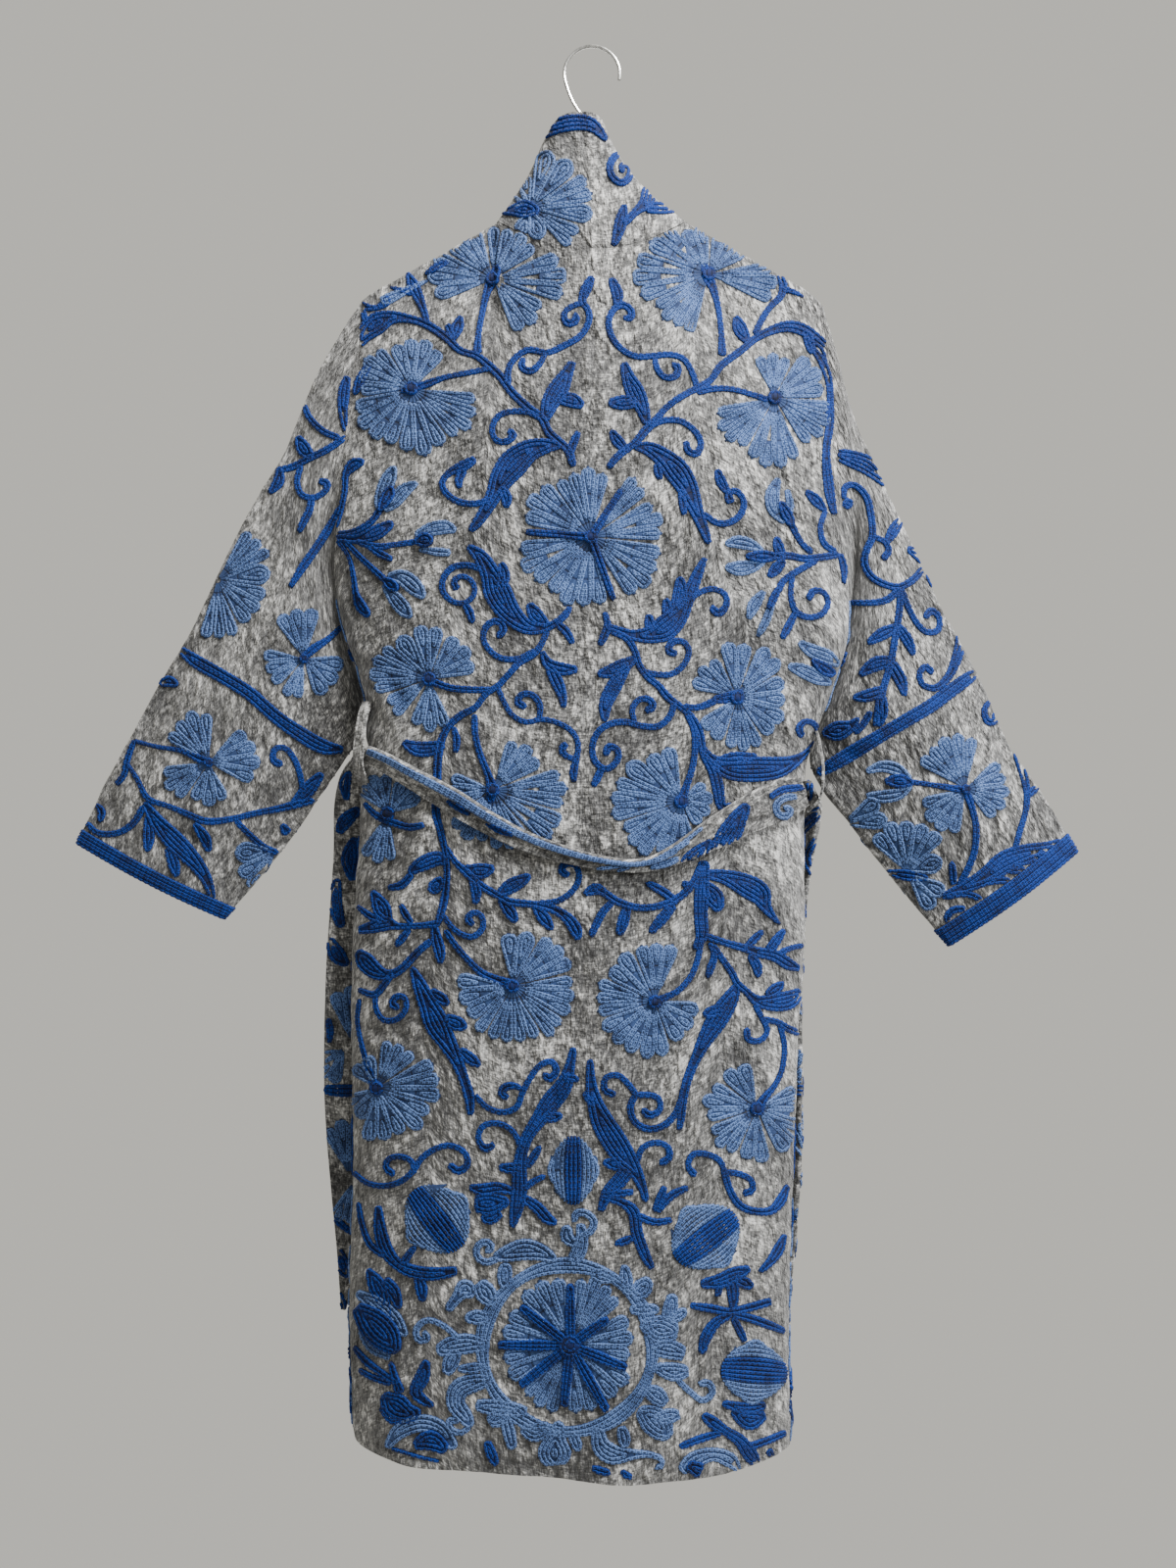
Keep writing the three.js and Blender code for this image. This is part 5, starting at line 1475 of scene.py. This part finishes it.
# Buds: pale lobes, and the dark tongue between them.
BUDS_PALE = [
    [(402, 477, 9), (396, 490, 15), (388, 508, 12), (385, 518, 7)],
    [(425, 493, 7), (413, 500, 13), (402, 512, 13), (393, 520, 8)],
    [(425, 546, 9), (440, 540, 13), (455, 538, 13), (464, 541, 8)],
    [(428, 561, 6), (445, 563, 10), (459, 564, 9)],
    [(396, 589, 9), (410, 589, 15), (424, 600, 16), (432, 609, 9)],
    [(392, 597, 8), (404, 612, 14), (414, 624, 13), (419, 630, 6)],
    [(794, 489, 8), (788, 505, 14), (790, 520, 13), (800, 533, 7)],
    [(803, 500, 7), (806, 515, 10), (804, 528, 8)],
    [(741, 555, 8), (752, 553, 13), (766, 556, 12), (778, 562, 7)],
    [(741, 579, 8), (753, 580, 14), (768, 578, 12), (780, 573, 6)],
    [(779, 604, 8), (769, 618, 13), (764, 631, 7)],
    [(789, 611, 8), (783, 630, 10), (776, 644, 9), (773, 650, 5)],
    [(816, 656, 8), (828, 664, 13), (845, 671, 14), (855, 678, 8)],
    [(805, 680, 8), (818, 684, 13), (835, 692, 13), (847, 697, 7)],
    [(365, 1320, 9), (385, 1331, 16), (402, 1347, 16), (414, 1362, 8)],
    [(368, 1358, 8), (380, 1374, 12), (397, 1385, 8)],
    [(395, 1476, 9), (408, 1460, 15), (430, 1452, 16), (450, 1458, 15), (463, 1477, 11)],
    [(696, 1500, 12), (708, 1490, 16), (728, 1484, 13), (745, 1490, 14), (754, 1500, 8)],
]
BUDS_DARK = [
    [(388, 521, 8), (393, 512, 12), (398, 503, 13), (400, 497, 7)],
    [(424, 553, 8), (434, 551, 15), (441, 551, 9)],
    [(392, 591, 8), (400, 597, 13), (406, 601, 8)],
    [(796, 513, 8), (802, 525, 12), (808, 536, 9)],
    [(762, 568, 8), (776, 568, 13), (790, 568, 10)],
    [(794, 601, 8), (789, 611, 10), (784, 622, 7)],
    [(829, 674, 8), (841, 683, 13), (850, 688, 9)],
    [(366, 1334, 14), (380, 1348, 26), (395, 1364, 26), (405, 1378, 12)],
    [(424, 1474, 11), (440, 1469, 19), (455, 1478, 12)],
    [(702, 1494, 12), (714, 1500, 16)],
]

# Flowers: heart, then each fan's first and last angle and length.
FLOWERS_ABOVE = [
    (503, 285, [(-18, 24, 76), (-68, -24, 62), (153, 202, 65), (104, 148, 60), (32, 96, 56)]),
    (723, 280, [(162, 203, 79), (206, 256, 66), (128, 158, 70), (92, 126, 52), (26, 84, 47),
                (-26, 12, 71)]),
    (420, 397, [(45, 118, 52), (124, 188, 57), (192, 254, 66), (258, 305, 69), (309, 356, 72)]),
    (790, 406, [(66, 118, 46), (2, 58, 55), (-58, -4, 63), (-116, -66, 72), (190, 240, 66)]),
    (603, 548, [(74, 124, 71), (128, 168, 76), (184, 224, 78), (228, 284, 74), (-58, -8, 78),
                (-2, 32, 76), (38, 58, 76)]),
]
FLOWERS_MIDDLE = [
    (396, 830, [(18, 76, 38), (84, 146, 42), (-126, -80, 52)]),
    (438, 693, [(74, 108, 57), (114, 136, 54), (140, 196, 62), (202, 232, 52), (246, 296, 53),
                (8, 66, 52)]),
    (752, 712, [(74, 108, 59), (34, 66, 60), (-12, 28, 52), (-54, -16, 54), (-104, -60, 56),
                (212, 250, 50), (116, 168, 50)]),
    (503, 806, [(26, 74, 58), (-16, 18, 76), (-46, -20, 79), (-92, -52, 63), (216, 264, 58),
                (156, 208, 46)]),
    (695, 818, [(158, 196, 74), (136, 154, 68), (96, 132, 60), (200, 238, 70), (242, 288, 62),
                (-62, 48, 32)]),
]
FLOWERS_BELOW = [
    (523, 1006, [(64, 104, 56), (16, 58, 66), (-30, 10, 66), (-56, -34, 66), (-118, -60, 60),
                 (166, 222, 58), (226, 238, 58)]),
    (668, 1022, [(66, 110, 62), (116, 152, 60), (156, 196, 62), (200, 250, 60), (254, 286, 58),
                 (-66, -2, 48)]),
    (385, 1110, [(38, 84, 52), (-14, 30, 66), (-50, -18, 60), (-108, -54, 56), (94, 150, 34),
                 (196, 250, 38)]),
    (772, 1131, [(98, 138, 50), (146, 196, 54), (202, 244, 56), (250, 284, 56), (-64, -24, 56),
                 (-18, 34, 46)]),
]


ROSETTE = (582, 1372)
RING = (579, 1376)
RING_RADII = (87, 85)
WREATH_WIDER = 1.2
SPOKES = [(35, 46), (90, 61), (142, 63), (180, 73), (219, 65), (264, 62), (299, 76), (338, 61)]
WREATH = [
    [(566, 1285, 8), (552, 1278, 13), (535, 1275, 16), (518, 1279, 13), (505, 1283, 8)],
    [(508, 1284, 6), (496, 1288, 6), (487, 1282, 6), (487, 1272, 6), (496, 1267, 6), (502, 1273, 6),
     (496, 1277, 6)],
    [(516, 1290, 9), (515, 1300, 12), (515, 1313, 9)],
    [(583, 1287, 9), (590, 1278, 12), (594, 1262, 10), (592, 1250, 8)],
    [(592, 1262, 6), (603, 1256, 7), (606, 1246, 7), (598, 1238, 7), (588, 1238, 7), (586, 1246, 6)],
    [(588, 1270, 8), (578, 1262, 11), (579, 1252, 9)],
    [(604, 1299, 9), (616, 1302, 12), (626, 1304, 8)],
    [(503, 1331, 9), (496, 1320, 16), (489, 1310, 12)],
    [(482, 1322, 8), (475, 1315, 15), (468, 1322, 10), (457, 1336, 8)],
    [(497, 1345, 9), (487, 1344, 12), (476, 1345, 8)],
    [(468, 1366, 5), (453, 1353, 5), (436, 1347, 5), (425, 1356, 6), (427, 1367, 6), (436, 1366, 6),
     (433, 1359, 6)],
    [(498, 1373, 10), (478, 1371, 15), (460, 1374, 15), (447, 1378, 10)],
    [(466, 1378, 10), (460, 1390, 13), (456, 1401, 9)],
    [(497, 1394, 7), (482, 1396, 9), (468, 1397, 6)],
    [(500, 1408, 10), (484, 1411, 14), (468, 1418, 15), (465, 1432, 14), (475, 1446, 12), (480, 1455, 8)],
    [(479, 1456, 5), (470, 1462, 5), (459, 1457, 6), (459, 1449, 6), (468, 1450, 6)],
    [(487, 1434, 10), (505, 1436, 13), (522, 1438, 12), (536, 1440, 9)],
    [(518, 1441, 9), (507, 1447, 14), (500, 1451, 10)],
    [(515, 1443, 9), (519, 1460, 11), (523, 1477, 9)],
    [(533, 1458, 9), (545, 1461, 15), (560, 1457, 11)],
    [(571, 1452, 9), (567, 1468, 16), (566, 1482, 24), (567, 1493, 18)],
    [(583, 1462, 8), (587, 1470, 10), (590, 1479, 8)],
    [(610, 1458, 10), (613, 1475, 14), (625, 1484, 15), (645, 1484, 9), (662, 1484, 6), (675, 1489, 5),
     (675, 1496, 5), (669, 1497, 5)],
    [(634, 1457, 9), (637, 1468, 11), (637, 1476, 8)],
    [(652, 1440, 10), (664, 1447, 20), (676, 1459, 18), (682, 1466, 10)],
    [(668, 1448, 10), (682, 1445, 12), (692, 1443, 9)],
    [(660, 1418, 10), (670, 1424, 14), (678, 1432, 10)],
    [(665, 1377, 10), (680, 1376, 15), (697, 1381, 12)],
    [(670, 1396, 9), (688, 1400, 14), (701, 1399, 10)],
    [(691, 1408, 5), (704, 1420, 5), (717, 1429, 5), (727, 1421, 6), (723, 1411, 6), (714, 1412, 6)],
    [(655, 1350, 10), (672, 1356, 20), (690, 1359, 14)],
    [(680, 1350, 10), (684, 1335, 12), (686, 1322, 9)],
    [(686, 1346, 8), (694, 1341, 10), (699, 1337, 7)],
    [(644, 1336, 9), (658, 1336, 11), (671, 1336, 8)],
    [(641, 1320, 9), (639, 1305, 11), (637, 1292, 8)],
    [(645, 1322, 9), (655, 1315, 15), (662, 1306, 9)],
]


def sew_rosette(needle):
    """The round flower over the hem: fans between dark spokes, in a leafy wreath."""
    x, y = ROSETTE
    turns = [turn for turn, _ in SPOKES]
    for first, last in zip(turns, turns[1:] + [turns[0] + 360]):
        needle.flower(x, y, [(first + 5, last - 5, 66 if last > 360 else 74)], heart=0)
    for turn, reach in SPOKES:
        a = math.radians(turn)
        along = ((4, 10), (reach / 2, 11), (reach, 9))
        line = [(x + r * math.cos(a), y - r * math.sin(a), width) for r, width in along]
        needle.shape(line, "royal", DARK_RISE)
    needle.disc(x, y, 12, "royal", 1.8)
    x, y = RING
    wide, high = RING_RADII
    ring = [(x + wide * math.cos(a), y - high * math.sin(a), 13 + 2 * math.sin(5 * a))
            for a in np.linspace(0.2, 0.2 + 2 * math.pi, 41)]
    needle.shape(ring, "light")
    for points in WREATH:
        needle.shape([(x, y, WREATH_WIDER * width) for x, y, width in points], "light", 0.2)


UPPER_STEMS = UPPER_LEFT + UPPER_RIGHT + MIDDLE_LEFT + MIDDLE_RIGHT
LOWER_STEMS = LOWER_LEFT + LOWER_RIGHT + HEM_LEFT + HEM_RIGHT
MIDDLE_FLOWER = (603, 548)
MIDDLE_SPOKES = [(537, 543), (634, 500), (626, 612)]
SHOULDER_PETAL = (450, 280, math.radians(205), 2, 70, 13)
SHOULDER_TONGUE = [(434, 280, 5), (446, 273, 9), (458, 268, 6)]
# x, y, radius, turn, width of the dark band, and length against width
FRUITS = [
    (446, 1244, 38, -53, 27, 1), (720, 1262, 38, 38, 27, 1), (769, 1400, 34, -4, 27, 1),
    (585, 1194, 27, 90, 18, 1.3),
]


def sew_body(needle):
    for points in UPPER_STEMS + LOWER_STEMS:
        needle.shape(points, "royal")
    for points in BUDS_PALE:
        needle.shape(points, "light")
    for points in BUDS_DARK:
        needle.shape(points, "royal", 1.3)
    for x, y, fans in FLOWERS_ABOVE + FLOWERS_MIDDLE + FLOWERS_BELOW:
        needle.flower(x, y, fans)
    x, y = MIDDLE_FLOWER
    for end_x, end_y in MIDDLE_SPOKES:
        halfway = ((x + end_x) / 2, (y + end_y) / 2, 9)
        needle.shape([(x, y, 10), halfway, (end_x, end_y, 8)], "royal", DARK_RISE)
    needle.petal(*SHOULDER_PETAL)
    needle.shape(SHOULDER_TONGUE, "royal", 0.9)
    for fruit in FRUITS:
        needle.fruit(*fruit)
    sew_rosette(needle)


SLEEVE_STEMS = {
    "left": [
        [(184, 663, 9), (200, 675, 13), (230, 692, 13), (255, 708, 13), (280, 730, 13), (305, 748, 14),
         (330, 762, 14), (349, 765, 9)],
        [(164, 698, 8), (172, 695, 12), (181, 699, 8)],
        [(309, 407, 5), (315, 425, 7), (330, 440, 7), (346, 447, 7)],
        [(353, 446, 7), (335, 458, 8), (315, 468, 8), (297, 477, 8), (282, 480, 7)],
        [(286, 478, 8), (284, 492, 12), (275, 503, 7)],
        [(304, 446, 8), (310, 458, 14), (318, 467, 9)],
        [(307, 476, 7), (303, 492, 7), (308, 505, 7), (320, 508, 7), (332, 501, 7), (334, 493, 8),
         (326, 491, 8)],
        [(318, 508, 8), (316, 520, 9), (309, 534, 9), (305, 543, 7)],
        [(354, 385, 9), (351, 400, 12), (350, 420, 10), (353, 440, 7)],
        [(347, 518, 8), (335, 540, 10), (322, 560, 10), (308, 580, 10), (296, 599, 7)],
        [(348, 640, 7), (335, 652, 8), (320, 662, 10), (308, 672, 9)],
        [(137, 756, 6), (160, 762, 6), (185, 766, 7), (205, 775, 10), (216, 778, 8)],
        [(137, 756, 6), (130, 775, 7), (127, 790, 7), (119, 800, 7)],
        [(129, 778, 6), (140, 795, 7), (151, 815, 8), (170, 822, 7), (190, 830, 8), (210, 838, 9),
         (235, 836, 8), (260, 830, 8), (285, 825, 9), (305, 820, 10), (320, 817, 8)],
        [(298, 823, 9), (314, 806, 14), (328, 790, 9)],
        [(309, 808, 7), (306, 790, 7), (300, 774, 7), (290, 763, 7), (280, 765, 7), (279, 776, 8),
         (287, 780, 9)],
        [(148, 820, 9), (160, 838, 14), (175, 855, 18), (190, 870, 17), (203, 885, 14), (212, 900, 11),
         (217, 917, 8)],
        [(151, 834, 9), (152, 855, 12), (150, 868, 8)],
        [(172, 866, 10), (178, 884, 12), (180, 894, 7)],
        [(199, 841, 8), (209, 855, 12), (213, 868, 8)],
        [(146, 824, 8), (136, 840, 8), (120, 850, 7), (100, 850, 7), (89, 840, 6)],
        [(97, 820, 6), (104, 828, 10), (102, 838, 8)],
        [(241, 838, 7), (255, 852, 7), (270, 865, 8), (283, 870, 7)],
        [(288, 842, 8), (293, 850, 12)],
    ],
    "right": [
        [(835, 789, 9), (850, 780, 13), (875, 765, 14), (900, 750, 13), (925, 735, 13), (950, 720, 13),
         (970, 705, 13), (988, 692, 12), (998, 685, 8)],
        [(847, 462, 9), (865, 467, 15), (885, 475, 17), (905, 493, 11)],
        [(861, 508, 7), (862, 497, 7), (872, 495, 7), (884, 507, 8), (889, 528, 8), (890, 548, 8),
         (884, 562, 8), (882, 575, 8), (889, 588, 8), (902, 596, 8), (917, 599, 8), (931, 592, 8),
         (943, 579, 8)],
        [(862, 512, 12), (868, 516, 11)],
        [(892, 548, 7), (903, 553, 7), (907, 562, 8), (901, 570, 9)],
        [(905, 553, 8), (912, 541, 12), (919, 530, 9)],
        [(946, 582, 8), (939, 569, 11), (927, 560, 9)],
        [(943, 576, 7), (948, 589, 9), (952, 601, 6)],
        [(918, 601, 8), (905, 612, 8), (890, 615, 7), (868, 615, 6)],
        [(918, 601, 8), (918, 620, 9), (915, 640, 9), (912, 660, 9), (908, 680, 9), (902, 700, 9),
         (897, 720, 10), (893, 741, 7)],
        [(915, 640, 10), (900, 647, 13), (886, 656, 8)],
        [(917, 640, 10), (927, 655, 11), (932, 668, 7)],
        [(908, 675, 12), (893, 678, 14), (878, 688, 8)],
        [(910, 678, 12), (919, 694, 13), (923, 709, 8)],
        [(900, 705, 12), (885, 710, 13), (871, 712, 8)],
        [(899, 712, 12), (900, 728, 12), (897, 741, 7)],
        [(888, 727, 8), (880, 740, 8), (872, 748, 7)],
        [(840, 748, 9), (854, 746, 18), (868, 741, 12), (876, 733, 6)],
        [(920, 602, 7), (927, 620, 7), (935, 635, 7), (945, 645, 7), (957, 643, 7), (958, 630, 7),
         (950, 623, 8), (944, 630, 8)],
        [(973, 636, 7), (980, 652, 11), (976, 672, 11), (968, 690, 9), (955, 702, 8), (942, 699, 7),
         (938, 688, 7), (944, 680, 7), (951, 686, 9)],
        [(1011, 714, 6), (1004, 725, 7), (1008, 737, 8), (1016, 735, 8), (1014, 728, 7)],
        [(930, 798, 7), (945, 800, 6), (965, 803, 7), (983, 806, 9)],
        [(985, 806, 9), (992, 825, 8), (996, 845, 8), (994, 870, 8), (986, 890, 8), (979, 903, 8)],
        [(905, 890, 7), (925, 893, 12), (946, 896, 8)],
        [(962, 915, 8), (985, 905, 12), (1005, 895, 16), (1025, 880, 20), (1045, 872, 18), (1070, 866, 14),
         (1091, 857, 9)],
        [(1030, 888, 10), (1050, 885, 12), (1066, 886, 7)],
        [(1005, 900, 9), (1023, 898, 9), (1036, 900, 6)],
        [(1060, 872, 12), (1075, 876, 11), (1086, 874, 7)],
        [(973, 902, 8), (972, 889, 9), (971, 880, 7)],
        [(1035, 870, 8), (1040, 850, 8), (1046, 830, 8), (1048, 810, 9), (1045, 794, 10), (1040, 778, 10),
         (1034, 766, 7)],
        [(1047, 812, 9), (1055, 806, 9), (1063, 800, 6)],
        [(965, 915, 8), (985, 912, 8), (1000, 918, 8), (1004, 930, 8), (995, 942, 8), (978, 945, 8),
         (966, 938, 8), (972, 929, 9), (984, 927, 8)],
    ],
}
SLEEVE_FLOWERS = {
    "left": [
        (222, 592, [(24, 62, 62), (-4, 20, 52), (-62, -10, 54), (-108, -68, 62)], 0),
        (310, 672, [(72, 126, 53), (166, 226, 42), (236, 268, 43), (-72, 2, 43)], 6),
        (213, 778, [(86, 152, 54), (-28, 48, 52), (186, 234, 51), (240, 300, 44)], 6),
        (282, 868, [(168, 200, 42), (204, 246, 48)], 0),
    ],
    "right": [
        (985, 805, [(76, 152, 58), (-52, 44, 45), (192, 262, 51)], 6),
        (925, 890, [(42, 138, 54), (2, 36, 36), (-66, -18, 46)], 0),
        (858, 842, [(-4, 44, 48)], 0),
    ],
}
SLEEVE_BUD = [
    ([(885, 787, 8), (900, 782, 12), (915, 785, 13), (929, 795, 7)], "light"),
    ([(885, 812, 8), (900, 813, 13), (918, 810, 12), (930, 802, 6)], "light"),
    ([(904, 797, 8), (918, 797, 14), (931, 799, 8)], "royal"),
]


def sew_sleeve(needle, side):
    for points in SLEEVE_STEMS[side]:
        needle.shape(points, "royal")
    for x, y, fans, heart in SLEEVE_FLOWERS[side]:
        needle.flower(x, y, fans, heart)
    if side == "right":
        for points, colour in SLEEVE_BUD:
            needle.shape(points, colour, 0.6 if colour == "royal" else 0)


COLLAR_BORDER = [
    (546, 152, 7), (551, 142, 10), (561, 133, 13), (575, 127, 15), (590, 125, 15), (602, 127, 14),
    (611, 134, 11), (618, 143, 7),
]


COLLAR_STEMS = [
    [(500, 217, 7), (520, 216, 9), (536, 214, 17), (549, 216, 10)],
    [(637, 156, 8), (628, 159, 8), (622, 170, 8), (625, 181, 8), (634, 187, 8), (642, 181, 8), (642, 172, 7),
     (635, 168, 7), (634, 176, 7)],
    [(637, 210, 8), (634, 225, 13), (630, 240, 11), (626, 250, 8)],
    [(637, 228, 8), (650, 215, 9), (660, 206, 14), (661, 195, 13), (659, 188, 7)],
    [(660, 212, 12), (675, 213, 12), (692, 215, 8)],
]
COLLAR_FLOWER = (541, 213, [
    (62, 82, 60), (40, 60, 62), (8, 34, 66), (-14, 4, 62), (-48, -20, 56), (-128, -54, 32), (88, 172, 36),
])


BAND_EDGE_COLUMNS = (18, 17, 16)
CUFF_ROWS = {"cuff_border_left": 5, "cuff_border_right": 6}


def sew_collar(needle):
    needle.flower(*COLLAR_FLOWER, 0)
    for points in COLLAR_STEMS:
        needle.shape(points, "royal", 0.5)
    needle.shape(COLLAR_BORDER, "royal", 0.4)


def sew_band(needle):
    rows = np.arange(1, BAND_ROWS)
    for column in BAND_EDGE_COLUMNS:
        needle.follow(rows, np.full(len(rows), column), "royal", 0.5)
    sew_body(needle)


def sew_cuff(needle):
    columns = faces_out[needle.panel][0].shape[1]
    round_it = np.arange(columns + 1) % columns
    for row in np.linspace(1, 19, CUFF_ROWS[needle.panel]).astype(int):
        needle.follow(np.full(len(round_it), row), round_it, "royal")


BELT_ROYAL = [
    [(824, 803, 6), (812, 804, 8), (798, 806, 8), (786, 813, 7)],
    [(762, 822, 10), (754, 834, 16), (746, 848, 20), (736, 862, 18), (728, 872, 10)],
    [(724, 858, 8), (716, 868, 14), (704, 877, 14), (694, 884, 8)],
    [(456, 817, 5), (468, 824, 8), (480, 831, 5)],
    [(496, 840, 5), (510, 847, 8), (524, 852, 5)],
    [(560, 886, 5), (576, 889, 7), (592, 891, 5)],
]
BELT_LIGHT = [
    [(812, 813, 7), (801, 814, 8), (792, 821, 8), (794, 831, 8), (803, 833, 8), (807, 826, 7), (800, 824, 7)],
    [(664, 885, 7), (680, 881, 9), (692, 876, 7)],
    [(600, 888, 7), (620, 888, 10), (642, 884, 8)],
]
# Along each hanging end, as x from its middle, height in the layout and width.
TAIL_ROYAL = [
    [(4, 788, 8), (0, 800, 12), (2, 815, 8)],
    [(14, 826, 10), (0, 838, 14), (-6, 849, 9)],
    [(10, 856, 10), (6, 876, 18), (8, 897, 10)],
    [(-8, 898, 9), (-10, 920, 14), (-4, 945, 10)],
    [(-16, 958, 9), (-8, 974, 16), (2, 984, 9)],
    [(-17, 1040, 7), (-15, 1052, 9), (-16, 1064, 6)],
    [(-20, 1112, 11), (0, 1113, 13), (18, 1112, 11)],
    [(-16, 1238, 7), (-4, 1249, 8), (8, 1259, 6)],
    [(-6, 1276, 9), (-3, 1290, 14), (2, 1302, 9)],
    [(-6, 1318, 6), (-2, 1330, 9), (0, 1340, 5)],
]
# In the same way, each fan's heart, then its first and last angle and its length.
TAIL_LIGHT = [
    (6, 1062, 62, 116, 56), (0, 1070, 190, 262, 40), (4, 1198, 58, 122, 56), (8, 1206, 236, 300, 44),
]
# side, view, x of the end's middle in that view, and how far its cloth may face from the view
TAIL_VIEWS = [
    ("left", "rear", 352, SIDEWAYS), ("left", "front", 352, SIDEWAYS), ("right", "right", 646, 0.8),
    ("right", "rear", 824, SIDEWAYS),
]
SWAG_ROWS = [(13, 96), (15, 92), (17, 88)]  # column of the grid, and the row where the line ends


def sew_swag(needle):
    for column, last in SWAG_ROWS:
        rows = np.arange(1, last)
        needle.follow(rows, np.full(last - 1, column), "light")
    for points in BELT_ROYAL:
        needle.shape(points, "royal", 0.2)
    for points in BELT_LIGHT:
        needle.shape(points, "light", 0.2)


def sew_tail(needle, middle):
    for points in TAIL_ROYAL:
        needle.shape([(middle + x, y, width) for x, y, width in points], "royal")
    for x, y, first, last, reach in TAIL_LIGHT:
        needle.flower(middle + x, y, [(first, last, reach)], 0)


def stitch(name, panel, work, *about, **how):
    """All the rows on one panel that are laid from one view."""
    needle = Needle(name, panel, **how)
    work(needle, *about)
    needle.finish()


def sew_everything():
    stitch("back", "back", sew_body)
    for side in SIGN:
        sleeve_side, front_side, band = f"sleeve_{side}", f"front_{side}", f"front_band_{side}"
        stitch(sleeve_side, sleeve_side, sew_sleeve, side)
        stitch(f"{sleeve_side}_front", sleeve_side, sew_sleeve, side, view="front", fine=False)
        stitch(front_side, front_side, sew_body, view="front", fine=False)
        for panel in ("back", front_side):
            stitch(f"{panel}_flank_{side}", panel, sew_body, view=side, fine=False)
        stitch(band, band, sew_band, view="front", fine=False)
        stitch(f"cuff_border_{side}", f"cuff_border_{side}", sew_cuff)
    stitch("collar", "collar", sew_collar)
    stitch("belt_swag", "belt_swag", sew_swag)
    for side, view, middle, slant in TAIL_VIEWS:
        tail = f"belt_tail_{side}"
        stitch(f"{tail}_{view}", tail, sew_tail, middle, view=view, slant=slant)


set_camera()
set_studio()

take("back", back_panel(), "hanger_frame")
for side in SIGN:
    take(f"front_{side}", front_panel(side), "hanger_frame")
for side in SIGN:
    take(f"sleeve_{side}", sleeve(side), "back_panel")
for side in SIGN:
    take(f"cuff_border_{side}", cuff_border(side), f"kimono_sleeve_{side}", slot="blue_stitch")
for side in SIGN:
    take(f"front_band_{side}", front_band(side), f"front_panel_{side}")
take("collar", stand_collar(), "back_panel")
for side in SIGN:
    take(f"belt_loop_{side}", belt_loop(side), "back_panel")
take("belt_swag", belt_swag(), "belt_keeper_left", "belt_keeper_right")
for side in SIGN:
    take(f"belt_tail_{side}", belt_tail(side), f"belt_keeper_{side}")

sew_everything()

for node in ("hanger_hook", "hanger_neck", "hanger_frame"):
    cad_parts[node].material_slots[0].material = WIRE
